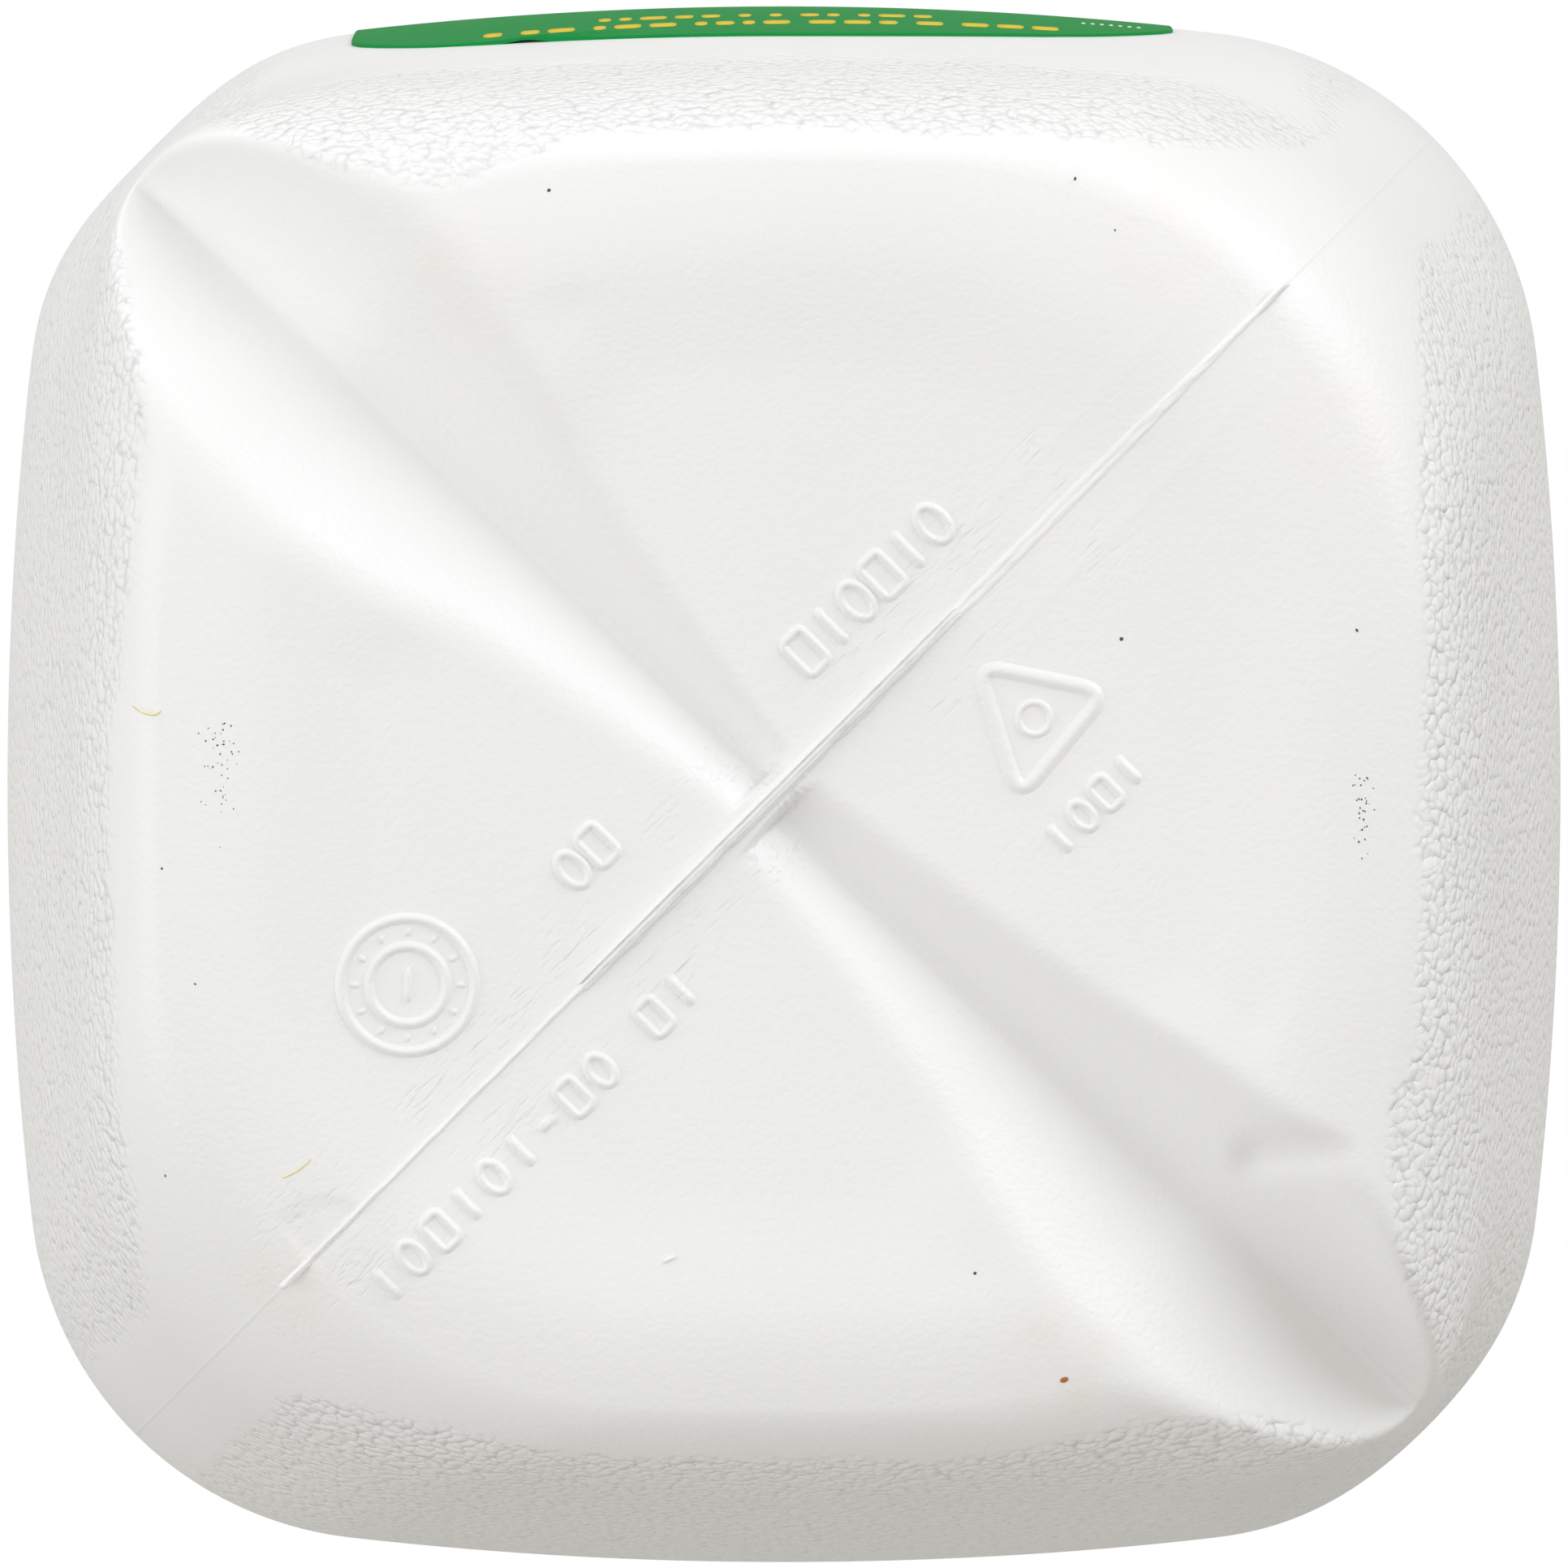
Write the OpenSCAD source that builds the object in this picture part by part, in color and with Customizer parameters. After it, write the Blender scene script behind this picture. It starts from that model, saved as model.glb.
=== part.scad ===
// Gallon milk jug: a shut, full, blow-moulded bottle with a corner handle, a snap cap and a front label.
// Millimetres. It stands on z = 0 with its axis on Z. The label faces -Y. The mould's parting plane runs
// through the handle's corner (+X, -Y), and the two base channels run to the other two corners.

/* [Body] */
// Width across the flat sides at the widest level, where the milk bulges them
body_w = 154; // [126:0.5:186]
// How far the ring that it stands on lies inside that width, on each side
foot_inset = 19; // [15:0.5:23]
// The same for the top of the rounded heel
heel_inset = 9; // [7:0.5:11]
// The same where the shoulder begins
waist_inset = 2; // [1:0.5:4]
// Radius of the gentle bow of each side, seen from above
side_bow = 380; // [300:1:500]
// Corner radius at the widest level, seen from above
corner_r = 35; // [28:0.5:43]
// Corner radius of the ring that it stands on
foot_corner_r = 48; // [38:0.5:54]
// Height of the rounded heel, and how far a straight side would lean out over that height
heel_h = 24; // [18:0.5:30]
heel_lean = 5; // [3:0.1:7]
// Height of the widest level
bulge_z = 90; // [70:1:110]
// Height where the shoulder begins
shoulder_z = 163; // [135:1:196]
// Height from the shoulder's start to the neck's root
shoulder_h = 68; // [56:1:82]

/* [Base] */
// How far the middle of the base is pushed up, which keeps the pinch line off the table
push_up = 1.5; // [1.2:0.1:3]
// Extra lift just inside the standing ring
rim_lift = 0.9; // [0.5:0.1:1.5]
// Depth of a base channel beside the pinch line
channel_depth = 4.5; // [3:0.1:6]
// Further depth that a channel gains by the time it leaves at the corner
channel_gain = 9; // [5:0.1:11]
// Half width of a channel beside the pinch line
channel_half_w = 4.2; // [3:0.1:6]
// Half width gained for each millimetre outwards
channel_flare = 0.18; // [0.1:0.01:0.22]
// How far the channels' line lies off the centre, away from the handle
channel_off = 1.2; // [0:0.1:3]
// Half thickness of the bridge between the two channels
bridge_half_t = 1.6; // [1:0.1:3]
// Distance of a foot dimple from the centre, along and across the channel
dimple_along = 50; // [40:0.5:54]
dimple_across = 21; // [17:0.5:26]
// Radius and depth of a foot dimple
dimple_r = 6; // [4:0.1:8]
dimple_depth = 0.5; // [0.2:0.1:1]
// How far the pinch line's ends stay inside the standing ring
pinch_inset = 6; // [4:0.5:12]
// Length, thickness and height of its thick middle stretch, where the tail was torn off
flash_l = 54; // [40:1:70]
flash_t = 1.5; // [0.8:0.1:2.4]
flash_h = 1.0; // [0.5:0.1:1.2]
// Thickness and height of the thin ends of the pinch line
pinch_t = 0.6; // [0.4:0.1:1]
pinch_h = 0.4; // [0.2:0.1:0.5]

/* [Handle] */
// Thickness of the grip, towards the axis
grip_t = 20; // [16:0.5:24]
// Width of the grip, across the parting plane
grip_w = 27; // [22:0.5:33]
// How far the grip's outer face lies inside the body's corner
grip_inset = 3; // [1:0.5:6]
// Gap for the fingers between the grip and the body
finger_gap = 26; // [20:0.5:31]
// Height where the grip leaves the shelf at its foot
shelf_z = 130; // [108:1:148]
// Radius of the bend at the top of the grip, on its centre line
bend_r = 27; // [22:0.5:33]
// Height of the bend's start above the shoulder's
bend_up = 10; // [4:0.5:14]
// Angle through which the grip turns before it runs straight to the neck
bend_angle = 70; // [60:1:76]
// Half width of the flat floor of the hand pocket
pocket_half_w = 14; // [11:0.5:17]

/* [Neck and cap] */
// Outer radius of the neck's finish, under the cap
finish_r = 18.3; // [15.2:0.1:22]
// How far the neck's root stands out from the finish
neck_step = 1.2; // [0.6:0.1:2]
// How far the bead under the cap stands out from the finish, and its thickness
bead_out = 3; // [2:0.1:4]
bead_t = 2; // [1.5:0.1:3]
// Height of the bead's underside above the neck's root
bead_z = 3; // [2:0.1:5]
// Height of the finish above the bead
finish_h = 16.5; // [14:0.1:20]
// Clearance all round between the cap and the finish
cap_gap = 0.3; // [0.15:0.05:0.5]
// Wall and top thickness of the cap
cap_wall = 1.5; // [1:0.1:2]
cap_top = 1.6; // [1:0.1:2]
// Number, depth and top rounding of the grip ribs
rib_count = 60; // [40:1:80]
rib_h = 0.5; // [0.3:0.1:0.8]
cap_round = 1.2; // [0.6:0.1:1.5]
// Height of the tamper band, of the slit over it and of the gap under it
band_h = 4; // [3:0.1:5]
band_slit = 0.5; // [0.3:0.1:0.8]
band_lift = 0.4; // [0.3:0.1:1]
// Number and width of the bridges across the slit
bridge_count = 12; // [8:1:16]
bridge_w = 1.2; // [0.8:0.1:2]

/* [Label] */
// Width of the label
label_w = 80; // [66:0.5:96]
// Height of its lower edge
label_z = 36; // [30:0.5:44]
// How far its upper edge stays below the shelf at the grip's foot
label_clear = 18; // [14:0.5:24]
// Corner radius, thickness, and the film of glue behind it
label_r = 9; // [4:0.5:14]
label_t = 0.15; // [0.1:0.01:0.4]
glue_t = 0.05; // [0.03:0.01:0.12]
// How far its middle lies to the left of the side's middle
label_off = 2; // [0:0.5:6]

/* [Hidden] */

columns = 96;         // points round each ring of the body
base_rings = 8;
heel_rings = 6;
belly_rings = 9;
shoulder_rings = 10;
grip_columns = 24;    // points round each ring of the grip
torn_count = 9;       // lumps along the torn stretch of the pinch line
handle_at = -45;      // direction of the handle's corner
pocket_draft = 2;     // how steeply the pocket's side walls rise from its floor
shelf_slope = 2.5;    // how far the shelf reaches out for each millimetre down
pocket_blend = 9;     // rounding between the pocket and the body
channel_blend = 1.6;  // rounding between a channel and the pads
valley_round = 1.0;   // rounding of a channel's deepest line
bridge_run = 5;       // length over which a channel reaches its depth
rim_share = 0.2;      // share of the base over which the rim's lift comes in
grip_stations = 14;
pinch_stations = 24;
skin = 1;             // how far a cut or a bridge runs past what it meets
fine = 96;            // smoothness of round parts
round_steps = 4;      // steps in each corner of the label
label_rows = 6;       // rows between its corners
label_steps = 12;     // steps across it

half_body = body_w / 2;
half_foot = half_body - foot_inset;
half_heel = half_body - heel_inset;
half_waist = half_body - waist_inset;
label_h = shelf_z - label_clear - label_z;
neck_r = finish_r + neck_step;
bead_r = finish_r + bead_out;
neck_z = shoulder_z + shoulder_h;
bead_base = neck_z + bead_z;
finish_base = bead_base + bead_t;
finish_top = finish_base + finish_h;
channel_reach = half_body;  // distance at which a channel has gained its full depth

// --- rings of the body ---------------------------------------------------------------------------------

function mix(a, b, t) = a + (b - a) * t;
function clamp01(t) = min(1, max(0, t));
function smooth01(t) = let (s = clamp01(t)) s * s * (3 - 2 * s);
function soft_max(a, b, k) = let (h = max(k - abs(a - b), 0) / k) max(a, b) + h * h * k / 4;
function soft_min(a, b, k) = -soft_max(-a, -b, k);
function bezier(p, t) = let (s = 1 - t)
    s * s * s * p[0] + 3 * s * s * t * p[1] + 3 * s * t * t * p[2] + t * t * t * p[3];

// Angle from the nearest side's middle, 0 to 45
function fold(t) = let (m = t - 90 * floor((t + 45) / 90)) abs(m);

// Distance from the axis to a square with bowed sides and round corners, in direction t:
// a is its half width across the flats and r its corner radius. With r = a it is a circle.
function ring_r(t, a, r) =
    let (f = fold(t), m = side_bow - a)
    let (c = (-m + sqrt(2 * pow(side_bow - r, 2) - m * m)) / 2)
    let (turn = atan2(c, c + m), touch = atan2(side_bow * sin(turn), side_bow * cos(turn) - m))
    f < touch
        ? -m * cos(f) + sqrt(side_bow * side_bow - pow(m * sin(f), 2))
        : let (d = c * (cos(f) + sin(f))) d + sqrt(d * d - 2 * c * c + r * r);

// Rings of the heel, the belly and the shoulder, each as half width, height and corner radius, t from 0 to 1
function heel(t) =
    let (p = bezier([[half_foot, 0], [(half_foot + half_heel - heel_lean) / 2, 0],
                     [half_heel - heel_lean * 0.8, heel_h * 0.2], [half_heel, heel_h]], t))
    [p[0], p[1], mix(foot_corner_r, belly(0)[2], t)];

function belly(t) =
    let (z = mix(heel_h, shoulder_z, t), low = clamp01((z - heel_h) / (bulge_z - heel_h)),
         high = clamp01((z - bulge_z) / (shoulder_z - bulge_z)))
    [z < bulge_z ? mix(half_heel, half_body, sin(90 * low)) : mix(half_body, half_waist, high * high), z,
     mix(mix(foot_corner_r, corner_r, 0.7), corner_r, low)];

// The shoulder turns from the body's square to the neck's circle
function shoulder(t) =
    let (p = bezier([[half_waist, shoulder_z], [half_waist - 1.5, mix(shoulder_z, neck_z, 0.45)],
                     [mix(neck_r, half_waist, 0.36), mix(shoulder_z, neck_z, 0.78)], [neck_r, neck_z]], t))
    [p[0], p[1], min(p[0], mix(corner_r, p[0], pow(t, 0.8)))];

// --- base relief ---------------------------------------------------------------------------------------

// Along the channels and across them, towards the handle
function along(x, y) = (x + y) / sqrt(2);
function across(x, y) = (x - y) / sqrt(2) + channel_off;

function dimple(u, v) = let (d = norm([abs(u) - dimple_along, abs(v) - dimple_across]) / dimple_r)
    dimple_depth * exp(-d * d * 1.5);

// Pads of the base, f from 0 at the middle to 1 at the standing ring
function pad(x, y, f) = push_up * (1 - f * f) + rim_lift * smooth01((1 - f) / rim_share)
    + dimple(along(x, y), across(x, y)) * smooth01((1 - f) / rim_share * 3);

// Height of the channels' V
function channel(x, y) =
    let (u = abs(along(x, y)), v = across(x, y))
    let (depth = channel_depth + channel_gain * pow(u / channel_reach, 1.6))
    let (side = sqrt(v * v + valley_round * valley_round) - valley_round)
    let (v_shape = depth * (1 - side / (channel_half_w + channel_flare * u)))
    mix(-1, v_shape, smooth01((u - bridge_half_t) / bridge_run));

// --- hand pocket ---------------------------------------------------------------------------------------

corner_reach = ring_r(45, half_body, corner_r);
grip_at = corner_reach - grip_inset - grip_t / 2;   // distance of the grip's centre line from the axis
pocket_at = grip_at - grip_t / 2 - finger_gap;      // distance of the pocket's floor from the axis

// Distance of the pocket's floor at height z
function floor_at(z) = pocket_at + max(0, shelf_z - z) * shelf_slope;

// Distance from the axis to the pocket's surface in direction t
function pocket_r(t, z) =
    let (d = abs(t - handle_at), q = floor_at(z), open = cos(d) - pocket_draft * sin(d))
    d > 85 ? 1000
    : q * tan(d) <= pocket_half_w ? q / cos(d)
    : open <= 0.01 || q <= pocket_draft * pocket_half_w ? 1000
    : (q - pocket_draft * pocket_half_w) / open;

function body_r(t, ring) =
    let (r = ring_r(t, ring[0], ring[2]), p = pocket_r(t, ring[1]))
    p > r + pocket_blend ? r : soft_min(r, p, pocket_blend);

// --- jug -----------------------------------------------------------------------------------------------

function base_point(t, f) =
    let (r = f * ring_r(t, half_foot, foot_corner_r), x = r * cos(t), y = r * sin(t))
    [x, y, soft_max(pad(x, y, f), channel(x, y), channel_blend) - (f == 1 ? standing_trim(x, y) : 0)];

// The standing ring lies exactly on z = 0 where no channel crosses it
function standing_trim(x, y) = channel(x, y) < 0 ? soft_max(0, channel(x, y), channel_blend) : 0;

function heel_point(t, share) =
    let (ring = heel(share), r = ring_r(t, ring[0], ring[2]), z = ring[1])
    let (x = r * cos(t), y = r * sin(t), cut = channel(x, y))
    [x, y, cut < z - channel_blend ? z : soft_max(z, cut, channel_blend)];

function wall_point(t, ring) = let (r = body_r(t, ring)) [r * cos(t), r * sin(t), ring[1]];

// The neck's steps, each as the radius and height of a ring
neck_rings = [[neck_r, bead_base], [bead_r, bead_base], [bead_r, finish_base], [finish_r, finish_base],
              [finish_r, finish_top]];

module body() {
    turn = [for (i = [0 : columns - 1]) i * 360 / columns - 180];
    rings = concat(
        [for (j = [1 : base_rings]) [for (t = turn) base_point(t, j / base_rings)]],
        [for (j = [1 : heel_rings]) [for (t = turn) heel_point(t, j / heel_rings)]],
        [for (j = [1 : belly_rings]) let (b = belly(j / belly_rings)) [for (t = turn) wall_point(t, b)]],
        [for (j = [1 : shoulder_rings])
            let (s = shoulder(j / shoulder_rings)) [for (t = turn) wall_point(t, s)]],
        [for (n = neck_rings) [for (t = turn) [n[0] * cos(t), n[0] * sin(t), n[1]]]]);
    count = len(rings);
    points = concat([base_point(0, 0)], [for (ring = rings) each ring], [[0, 0, finish_top]]);
    last = len(points) - 1;
    function at(j, i) = 1 + j * columns + i % columns;
    polyhedron(points, concat(
        [for (i = [0 : columns - 1]) [0, at(0, i), at(0, i + 1)]],
        [for (j = [0 : count - 2], i = [0 : columns - 1]) [at(j, i), at(j + 1, i), at(j + 1, i + 1)]],
        [for (j = [0 : count - 2], i = [0 : columns - 1]) [at(j, i), at(j + 1, i + 1), at(j, i + 1)]],
        [for (i = [0 : columns - 1]) [last, at(count - 1, i + 1), at(count - 1, i)]]));
}

// Centre line of the grip in the parting plane: [distance from the axis, height, lean from upright]
function grip_station(i) =
    let (foot_z = shelf_z - grip_t, bend_z = shoulder_z + bend_up, upright = bend_z - foot_z)
    let (arc = bend_r * bend_angle * PI / 180,
         run_in = (grip_at - bend_r * (1 - cos(bend_angle)) - neck_r) / sin(bend_angle))
    let (s = i / grip_stations * (upright + arc + run_in))
    s <= upright ? [grip_at, foot_z + s, 0]
    : let (turned = min(bend_angle, (s - upright) / bend_r * 180 / PI), past = max(0, s - upright - arc))
      [grip_at - bend_r * (1 - cos(turned)) - past * sin(bend_angle),
       bend_z + bend_r * sin(turned) + past * cos(bend_angle), turned];

// One ring of the grip: an ellipse across its centre line
function grip_ring(i) =
    let (s = grip_station(i))
    [for (k = [0 : grip_columns - 1])
        let (turn = (k + 0.5) * 360 / grip_columns, out = grip_t / 2 * cos(turn))
        [s[0] + out * cos(s[2]), grip_w / 2 * sin(turn), s[1] + out * sin(s[2])]];

module grip() {
    last = grip_columns * grip_stations;
    function at(j, k) = grip_columns * j + k % grip_columns;
    rotate([0, 0, handle_at]) polyhedron([for (i = [0 : grip_stations]) each grip_ring(i)], concat(
        [[for (k = [0 : grip_columns - 1]) k]],
        [for (j = [0 : grip_stations - 1], k = [0 : grip_columns - 1])
            [at(j, k), at(j + 1, k), at(j + 1, k + 1), at(j, k + 1)]],
        [[for (k = [grip_columns - 1 : -1 : 0]) last + k]]));
}

// Height of the base under the parting plane, v from the axis towards the handle
function underside(v) =
    let (x = v / sqrt(2)) pad(x, -x, min(1, abs(v) / ring_r(45, half_foot, foot_corner_r)));

// Share of the thick stretch's section that the pinch line has at v
function thick_share(v) = smooth01((flash_l / 2 - abs(v + channel_off)) / 8);

// The pinch line left by the mould: a thick middle between two thin ends
module pinch_line() {
    reach = ring_r(45, half_foot, foot_corner_r) - pinch_inset;
    ends = [for (j = [0 : pinch_stations]) let (v = mix(-reach, reach, j / pinch_stations), share = thick_share(v),
        t = mix(pinch_t, flash_t, share) / 2, h = mix(pinch_h, flash_h, share), z = underside(v))
        [[v, -t, z + 0.5], [v, t, z + 0.5], [v, t / 2, z - h], [v, -t / 2, z - h]]];
    function at(j, k) = 4 * j + k % 4;
    rotate([0, 0, handle_at]) polyhedron([for (e = ends) each e], concat([[3, 2, 1, 0]],
        [for (j = [0 : pinch_stations - 1], k = [0 : 3]) [at(j, k), at(j, k + 1), at(j + 1, k + 1)]],
        [for (j = [0 : pinch_stations - 1], k = [0 : 3]) [at(j, k), at(j + 1, k + 1), at(j + 1, k)]],
        [[for (k = [0 : 3]) at(pinch_stations, k)]]));
}

// Ragged lumps along the thick stretch, where the tail was torn away
module torn_lumps() {
    pitch = 0.8 * flash_l / torn_count;
    for (i = [0 : torn_count - 1]) {
        v = (i + 0.5 - torn_count / 2) * pitch - channel_off;
        wave = sin(i * 137.5);
        rotate([0, 0, handle_at]) translate([v, flash_t * 0.4, underside(v) - flash_h * 0.3]) hull() {
            rotate([0, 0, 20 * wave]) cube([pitch * 0.7, flash_t * 0.7, flash_h * 1.2], center = true);
            translate([0.3, 0.2 + 0.15 * wave, 0.1]) rotate([10, 0, 35])
                cube([flash_t * 0.8, flash_t * 0.6, flash_h], center = true);
        }
    }
}

module jug() {
    color("whitesmoke") union() {
        body();
        grip();
        pinch_line();
        torn_lumps();
    }
}

// --- label ---------------------------------------------------------------------------------------------

// Outline of the label round its middle, by arcs in its four corners
function label_half(s) =
    // half width at height share s, with round corners
    let (h = s * label_h, d = min(h, label_h - h))
    d >= label_r ? label_w / 2 : label_w / 2 - label_r + sqrt(label_r * label_r - pow(label_r - d, 2));

// Point of the front wall at width x and height z, lifted by lift
function front(x, z, lift) =
    let (b = belly((z - heel_h) / (shoulder_z - heel_h)), bow = side_bow + lift, m = side_bow - b[0])
    [x, m - sqrt(bow * bow - x * x), z];

module label() {
    corner_share = label_r / label_h;
    turned = [for (i = [0 : round_steps]) corner_share * (1 - cos(90 * i / round_steps))];
    rows = concat(turned, [for (i = [1 : label_rows]) mix(corner_share, 1 - corner_share, i / (label_rows + 1))],
                  [for (i = [round_steps : -1 : 0]) 1 - turned[i]]);
    face = [for (lift = [glue_t, glue_t + label_t], s = rows, k = [0 : label_steps])
        front(mix(-1, 1, k / label_steps) * label_half(s) - label_off, label_z + s * label_h, lift)];
    n = label_steps + 1;
    size = n * len(rows);
    last = len(rows) - 1;
    function edge(a, b) = [[a, b, b + size], [a, b + size, a + size]];
    color("forestgreen") polyhedron(face, concat(
        [for (j = [0 : last - 1], k = [0 : label_steps - 1])
            let (a = j * n + k, b = a + n) each [[a, b + 1, a + 1], [a, b, b + 1]]],
        [for (j = [0 : last - 1], k = [0 : label_steps - 1])
            let (a = size + j * n + k, b = a + n) each [[a, a + 1, b + 1], [a, b + 1, b]]],
        [for (k = [0 : label_steps - 1]) each edge(k, k + 1)],
        [for (k = [0 : label_steps - 1]) each edge(last * n + k + 1, last * n + k)],
        [for (j = [0 : last - 1]) each edge((j + 1) * n, j * n)],
        [for (j = [0 : last - 1]) each edge(j * n + label_steps, (j + 1) * n + label_steps)]));
}

// --- cap -----------------------------------------------------------------------------------------------

module cap() {
    bore = finish_r + cap_gap;
    outer = bore + cap_wall;
    band_base = finish_base + band_lift;
    skirt_base = band_base + band_h + band_slit;
    top = finish_top + cap_top;
    color("forestgreen") difference() {
        union() {
            translate([0, 0, skirt_base]) linear_extrude(top - cap_round - skirt_base)
                polygon([for (i = [0 : rib_count - 1], s = [0 : 3])
                    let (t = (i + s / 4) * 360 / rib_count, r = outer + (s < 2 ? rib_h : 0)) r * [cos(t), sin(t)]]);
            rotate_extrude($fn = fine) intersection() {
                translate([0, skirt_base]) square([outer, top - skirt_base]);
                union() {
                    translate([0, skirt_base]) square([outer - cap_round, top - skirt_base]);
                    translate([0, skirt_base]) square([outer, top - skirt_base - cap_round]);
                    translate([outer - cap_round, top - cap_round]) circle(cap_round, $fn = fine);
                }
            }
            translate([0, 0, band_base]) cylinder(r = outer, h = band_h, $fn = fine);
            for (i = [0 : bridge_count - 1]) rotate([0, 0, (i + 0.5) * 360 / bridge_count])
                translate([bore - cap_gap, -bridge_w / 2, band_base + band_h / 2])
                    cube([cap_wall + cap_gap - 0.2, bridge_w, band_h / 2 + band_slit + skin]);
        }
        translate([0, 0, band_base - skin]) cylinder(r = bore, h = finish_top - band_base + skin, $fn = fine);
    }
}

jug();
label();
cap();
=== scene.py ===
import math
import random
from bisect import bisect_left
import bpy
import bmesh
from mathutils import Matrix, Vector, noise


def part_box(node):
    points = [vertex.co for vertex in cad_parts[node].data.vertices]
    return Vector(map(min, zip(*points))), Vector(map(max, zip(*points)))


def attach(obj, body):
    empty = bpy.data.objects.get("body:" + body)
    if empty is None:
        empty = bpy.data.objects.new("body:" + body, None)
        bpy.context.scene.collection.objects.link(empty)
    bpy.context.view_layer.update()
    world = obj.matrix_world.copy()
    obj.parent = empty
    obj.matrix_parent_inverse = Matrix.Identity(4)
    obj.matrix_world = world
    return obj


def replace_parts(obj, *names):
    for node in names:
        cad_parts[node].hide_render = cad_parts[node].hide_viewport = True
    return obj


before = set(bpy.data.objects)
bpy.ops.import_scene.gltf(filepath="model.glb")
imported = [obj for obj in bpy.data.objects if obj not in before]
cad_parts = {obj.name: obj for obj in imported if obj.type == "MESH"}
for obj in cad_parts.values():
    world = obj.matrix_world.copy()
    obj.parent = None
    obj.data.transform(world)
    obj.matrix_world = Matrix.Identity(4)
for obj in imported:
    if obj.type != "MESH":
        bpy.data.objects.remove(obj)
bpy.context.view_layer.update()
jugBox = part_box("jug")
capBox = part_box("cap")
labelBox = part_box("label")
mm = 0.001
half2 = math.sqrt(0.5)
print("frame loaded")


# small helpers. Every shape is drawn in millimetres and scaled once, when its piece is finished

def mix(a, b, t):
    return a + (b - a) * t


def clamp01(t):
    return min(1.0, max(0.0, t))


def smooth01(t):
    s = clamp01(t)
    return s * s * (3 - 2 * s)


def softMax(a, b, k):
    h = max(k - abs(a - b), 0) / k
    return max(a, b) + h * h * k / 4


def softRamp(x, k):  # nothing below 0, x above it, rounded over k
    return (x + math.sqrt(x * x + k * k)) / 2


def bezier(p, t):
    s = 1 - t
    return s ** 3 * p[0] + 3 * s * s * t * p[1] + 3 * s * t * t * p[2] + t ** 3 * p[3]


def swelling(x, y, cx, cy, radius):  # a round hump of height 1
    return math.exp(-1.5 * ((x - cx) ** 2 + (y - cy) ** 2) / radius ** 2)


def linkMesh(name, bm, material):
    mesh = bpy.data.meshes.new(name)
    bm.to_mesh(mesh)
    bm.free()
    mesh.materials.append(material)
    made = bpy.data.objects.new(name, mesh)
    bpy.context.scene.collection.objects.link(made)
    return made


def finishPiece(name, bm, material):
    bmesh.ops.scale(bm, vec=(mm, mm, mm), verts=bm.verts)
    piece = linkMesh(name, bm, material)
    piece.data.shade_smooth()
    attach(piece, "root")
    return piece


def closedSpin(bm, profile, steps):  # spins (radius, height) points round Z and closes the seam and poles
    chain = [bm.verts.new((r, 0, z)) for r, z in profile]
    edges = [bm.edges.new(pair) for pair in zip(chain, chain[1:])]
    bmesh.ops.spin(bm, geom=chain + edges, cent=(0, 0, 0), axis=(0, 0, 1), angle=2 * math.pi,
                   steps=steps, use_merge=True, use_duplicate=False)
    bmesh.ops.remove_doubles(bm, verts=bm.verts, dist=1e-4)
    bmesh.ops.recalc_face_normals(bm, faces=bm.faces)


# materials

def linearColor(code):
    channels = [int(code[i:i + 2], 16) / 255 for i in (0, 2, 4)]
    return tuple(c / 12.92 if c < 0.04045 else ((c + 0.055) / 1.055) ** 2.4 for c in channels) + (1,)


def toned(color, share):  # a lighter or darker tone of a linear colour
    return tuple(min(1, c * share) for c in color[:3]) + (1,)


def addNode(tree, kind, settings=None, links=None):  # a key is a property's name, or an input's name or number
    node = tree.nodes.new("ShaderNode" + kind)
    for key, value in (settings or {}).items():
        if isinstance(key, str) and hasattr(node, key):
            setattr(node, key, value)
        else:
            node.inputs[key].default_value = value
    for key, socket in (links or {}).items():
        tree.links.new(socket, node.inputs[key])
    return node


def newMaterial(name):
    material = bpy.data.materials.new(name)
    material.use_nodes = True
    tree = material.node_tree
    tree.nodes.clear()
    output = addNode(tree, "OutputMaterial")
    shader = addNode(tree, "BsdfPrincipled")
    tree.links.new(shader.outputs[0], output.inputs["Surface"])
    place = addNode(tree, "TexCoord").outputs["Object"]
    return material, tree, shader, place


def finishSurface(tree, shader, values, color, height=None):  # the shader's values, its colour and its relief
    for key, value in values.items():
        shader.inputs[key].default_value = value
    tree.links.new(color.outputs[2], shader.inputs["Base Color"])
    if height is not None:
        bumps = addNode(tree, "Bump", {"Strength": 1.0, "Distance": 1.0}, {"Height": height.outputs[0]})
        tree.links.new(bumps.outputs[0], shader.inputs["Normal"])


hdpe = {
    "white": "f5f5f4", "greyer": "f1f1ef", "stain": "f0e6cc", "ior": 1.54,
    "roughLeast": 0.35, "roughMost": 0.47, "cloudSize": 28, "scuffSize": 9,
    "grainSize": 1.0, "grainHeight": 0.38, "wobbleSize": 1.6, "wobble": 0.9, "peelSize": 0.6, "peelHeight": 0.06,
    "lineWidth": 0.3, "lineHeight": 0.05, "dragSize": 0.45, "dragLong": 6, "dragFrom": 0.55, "dragHeight": -0.36,
}


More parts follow.
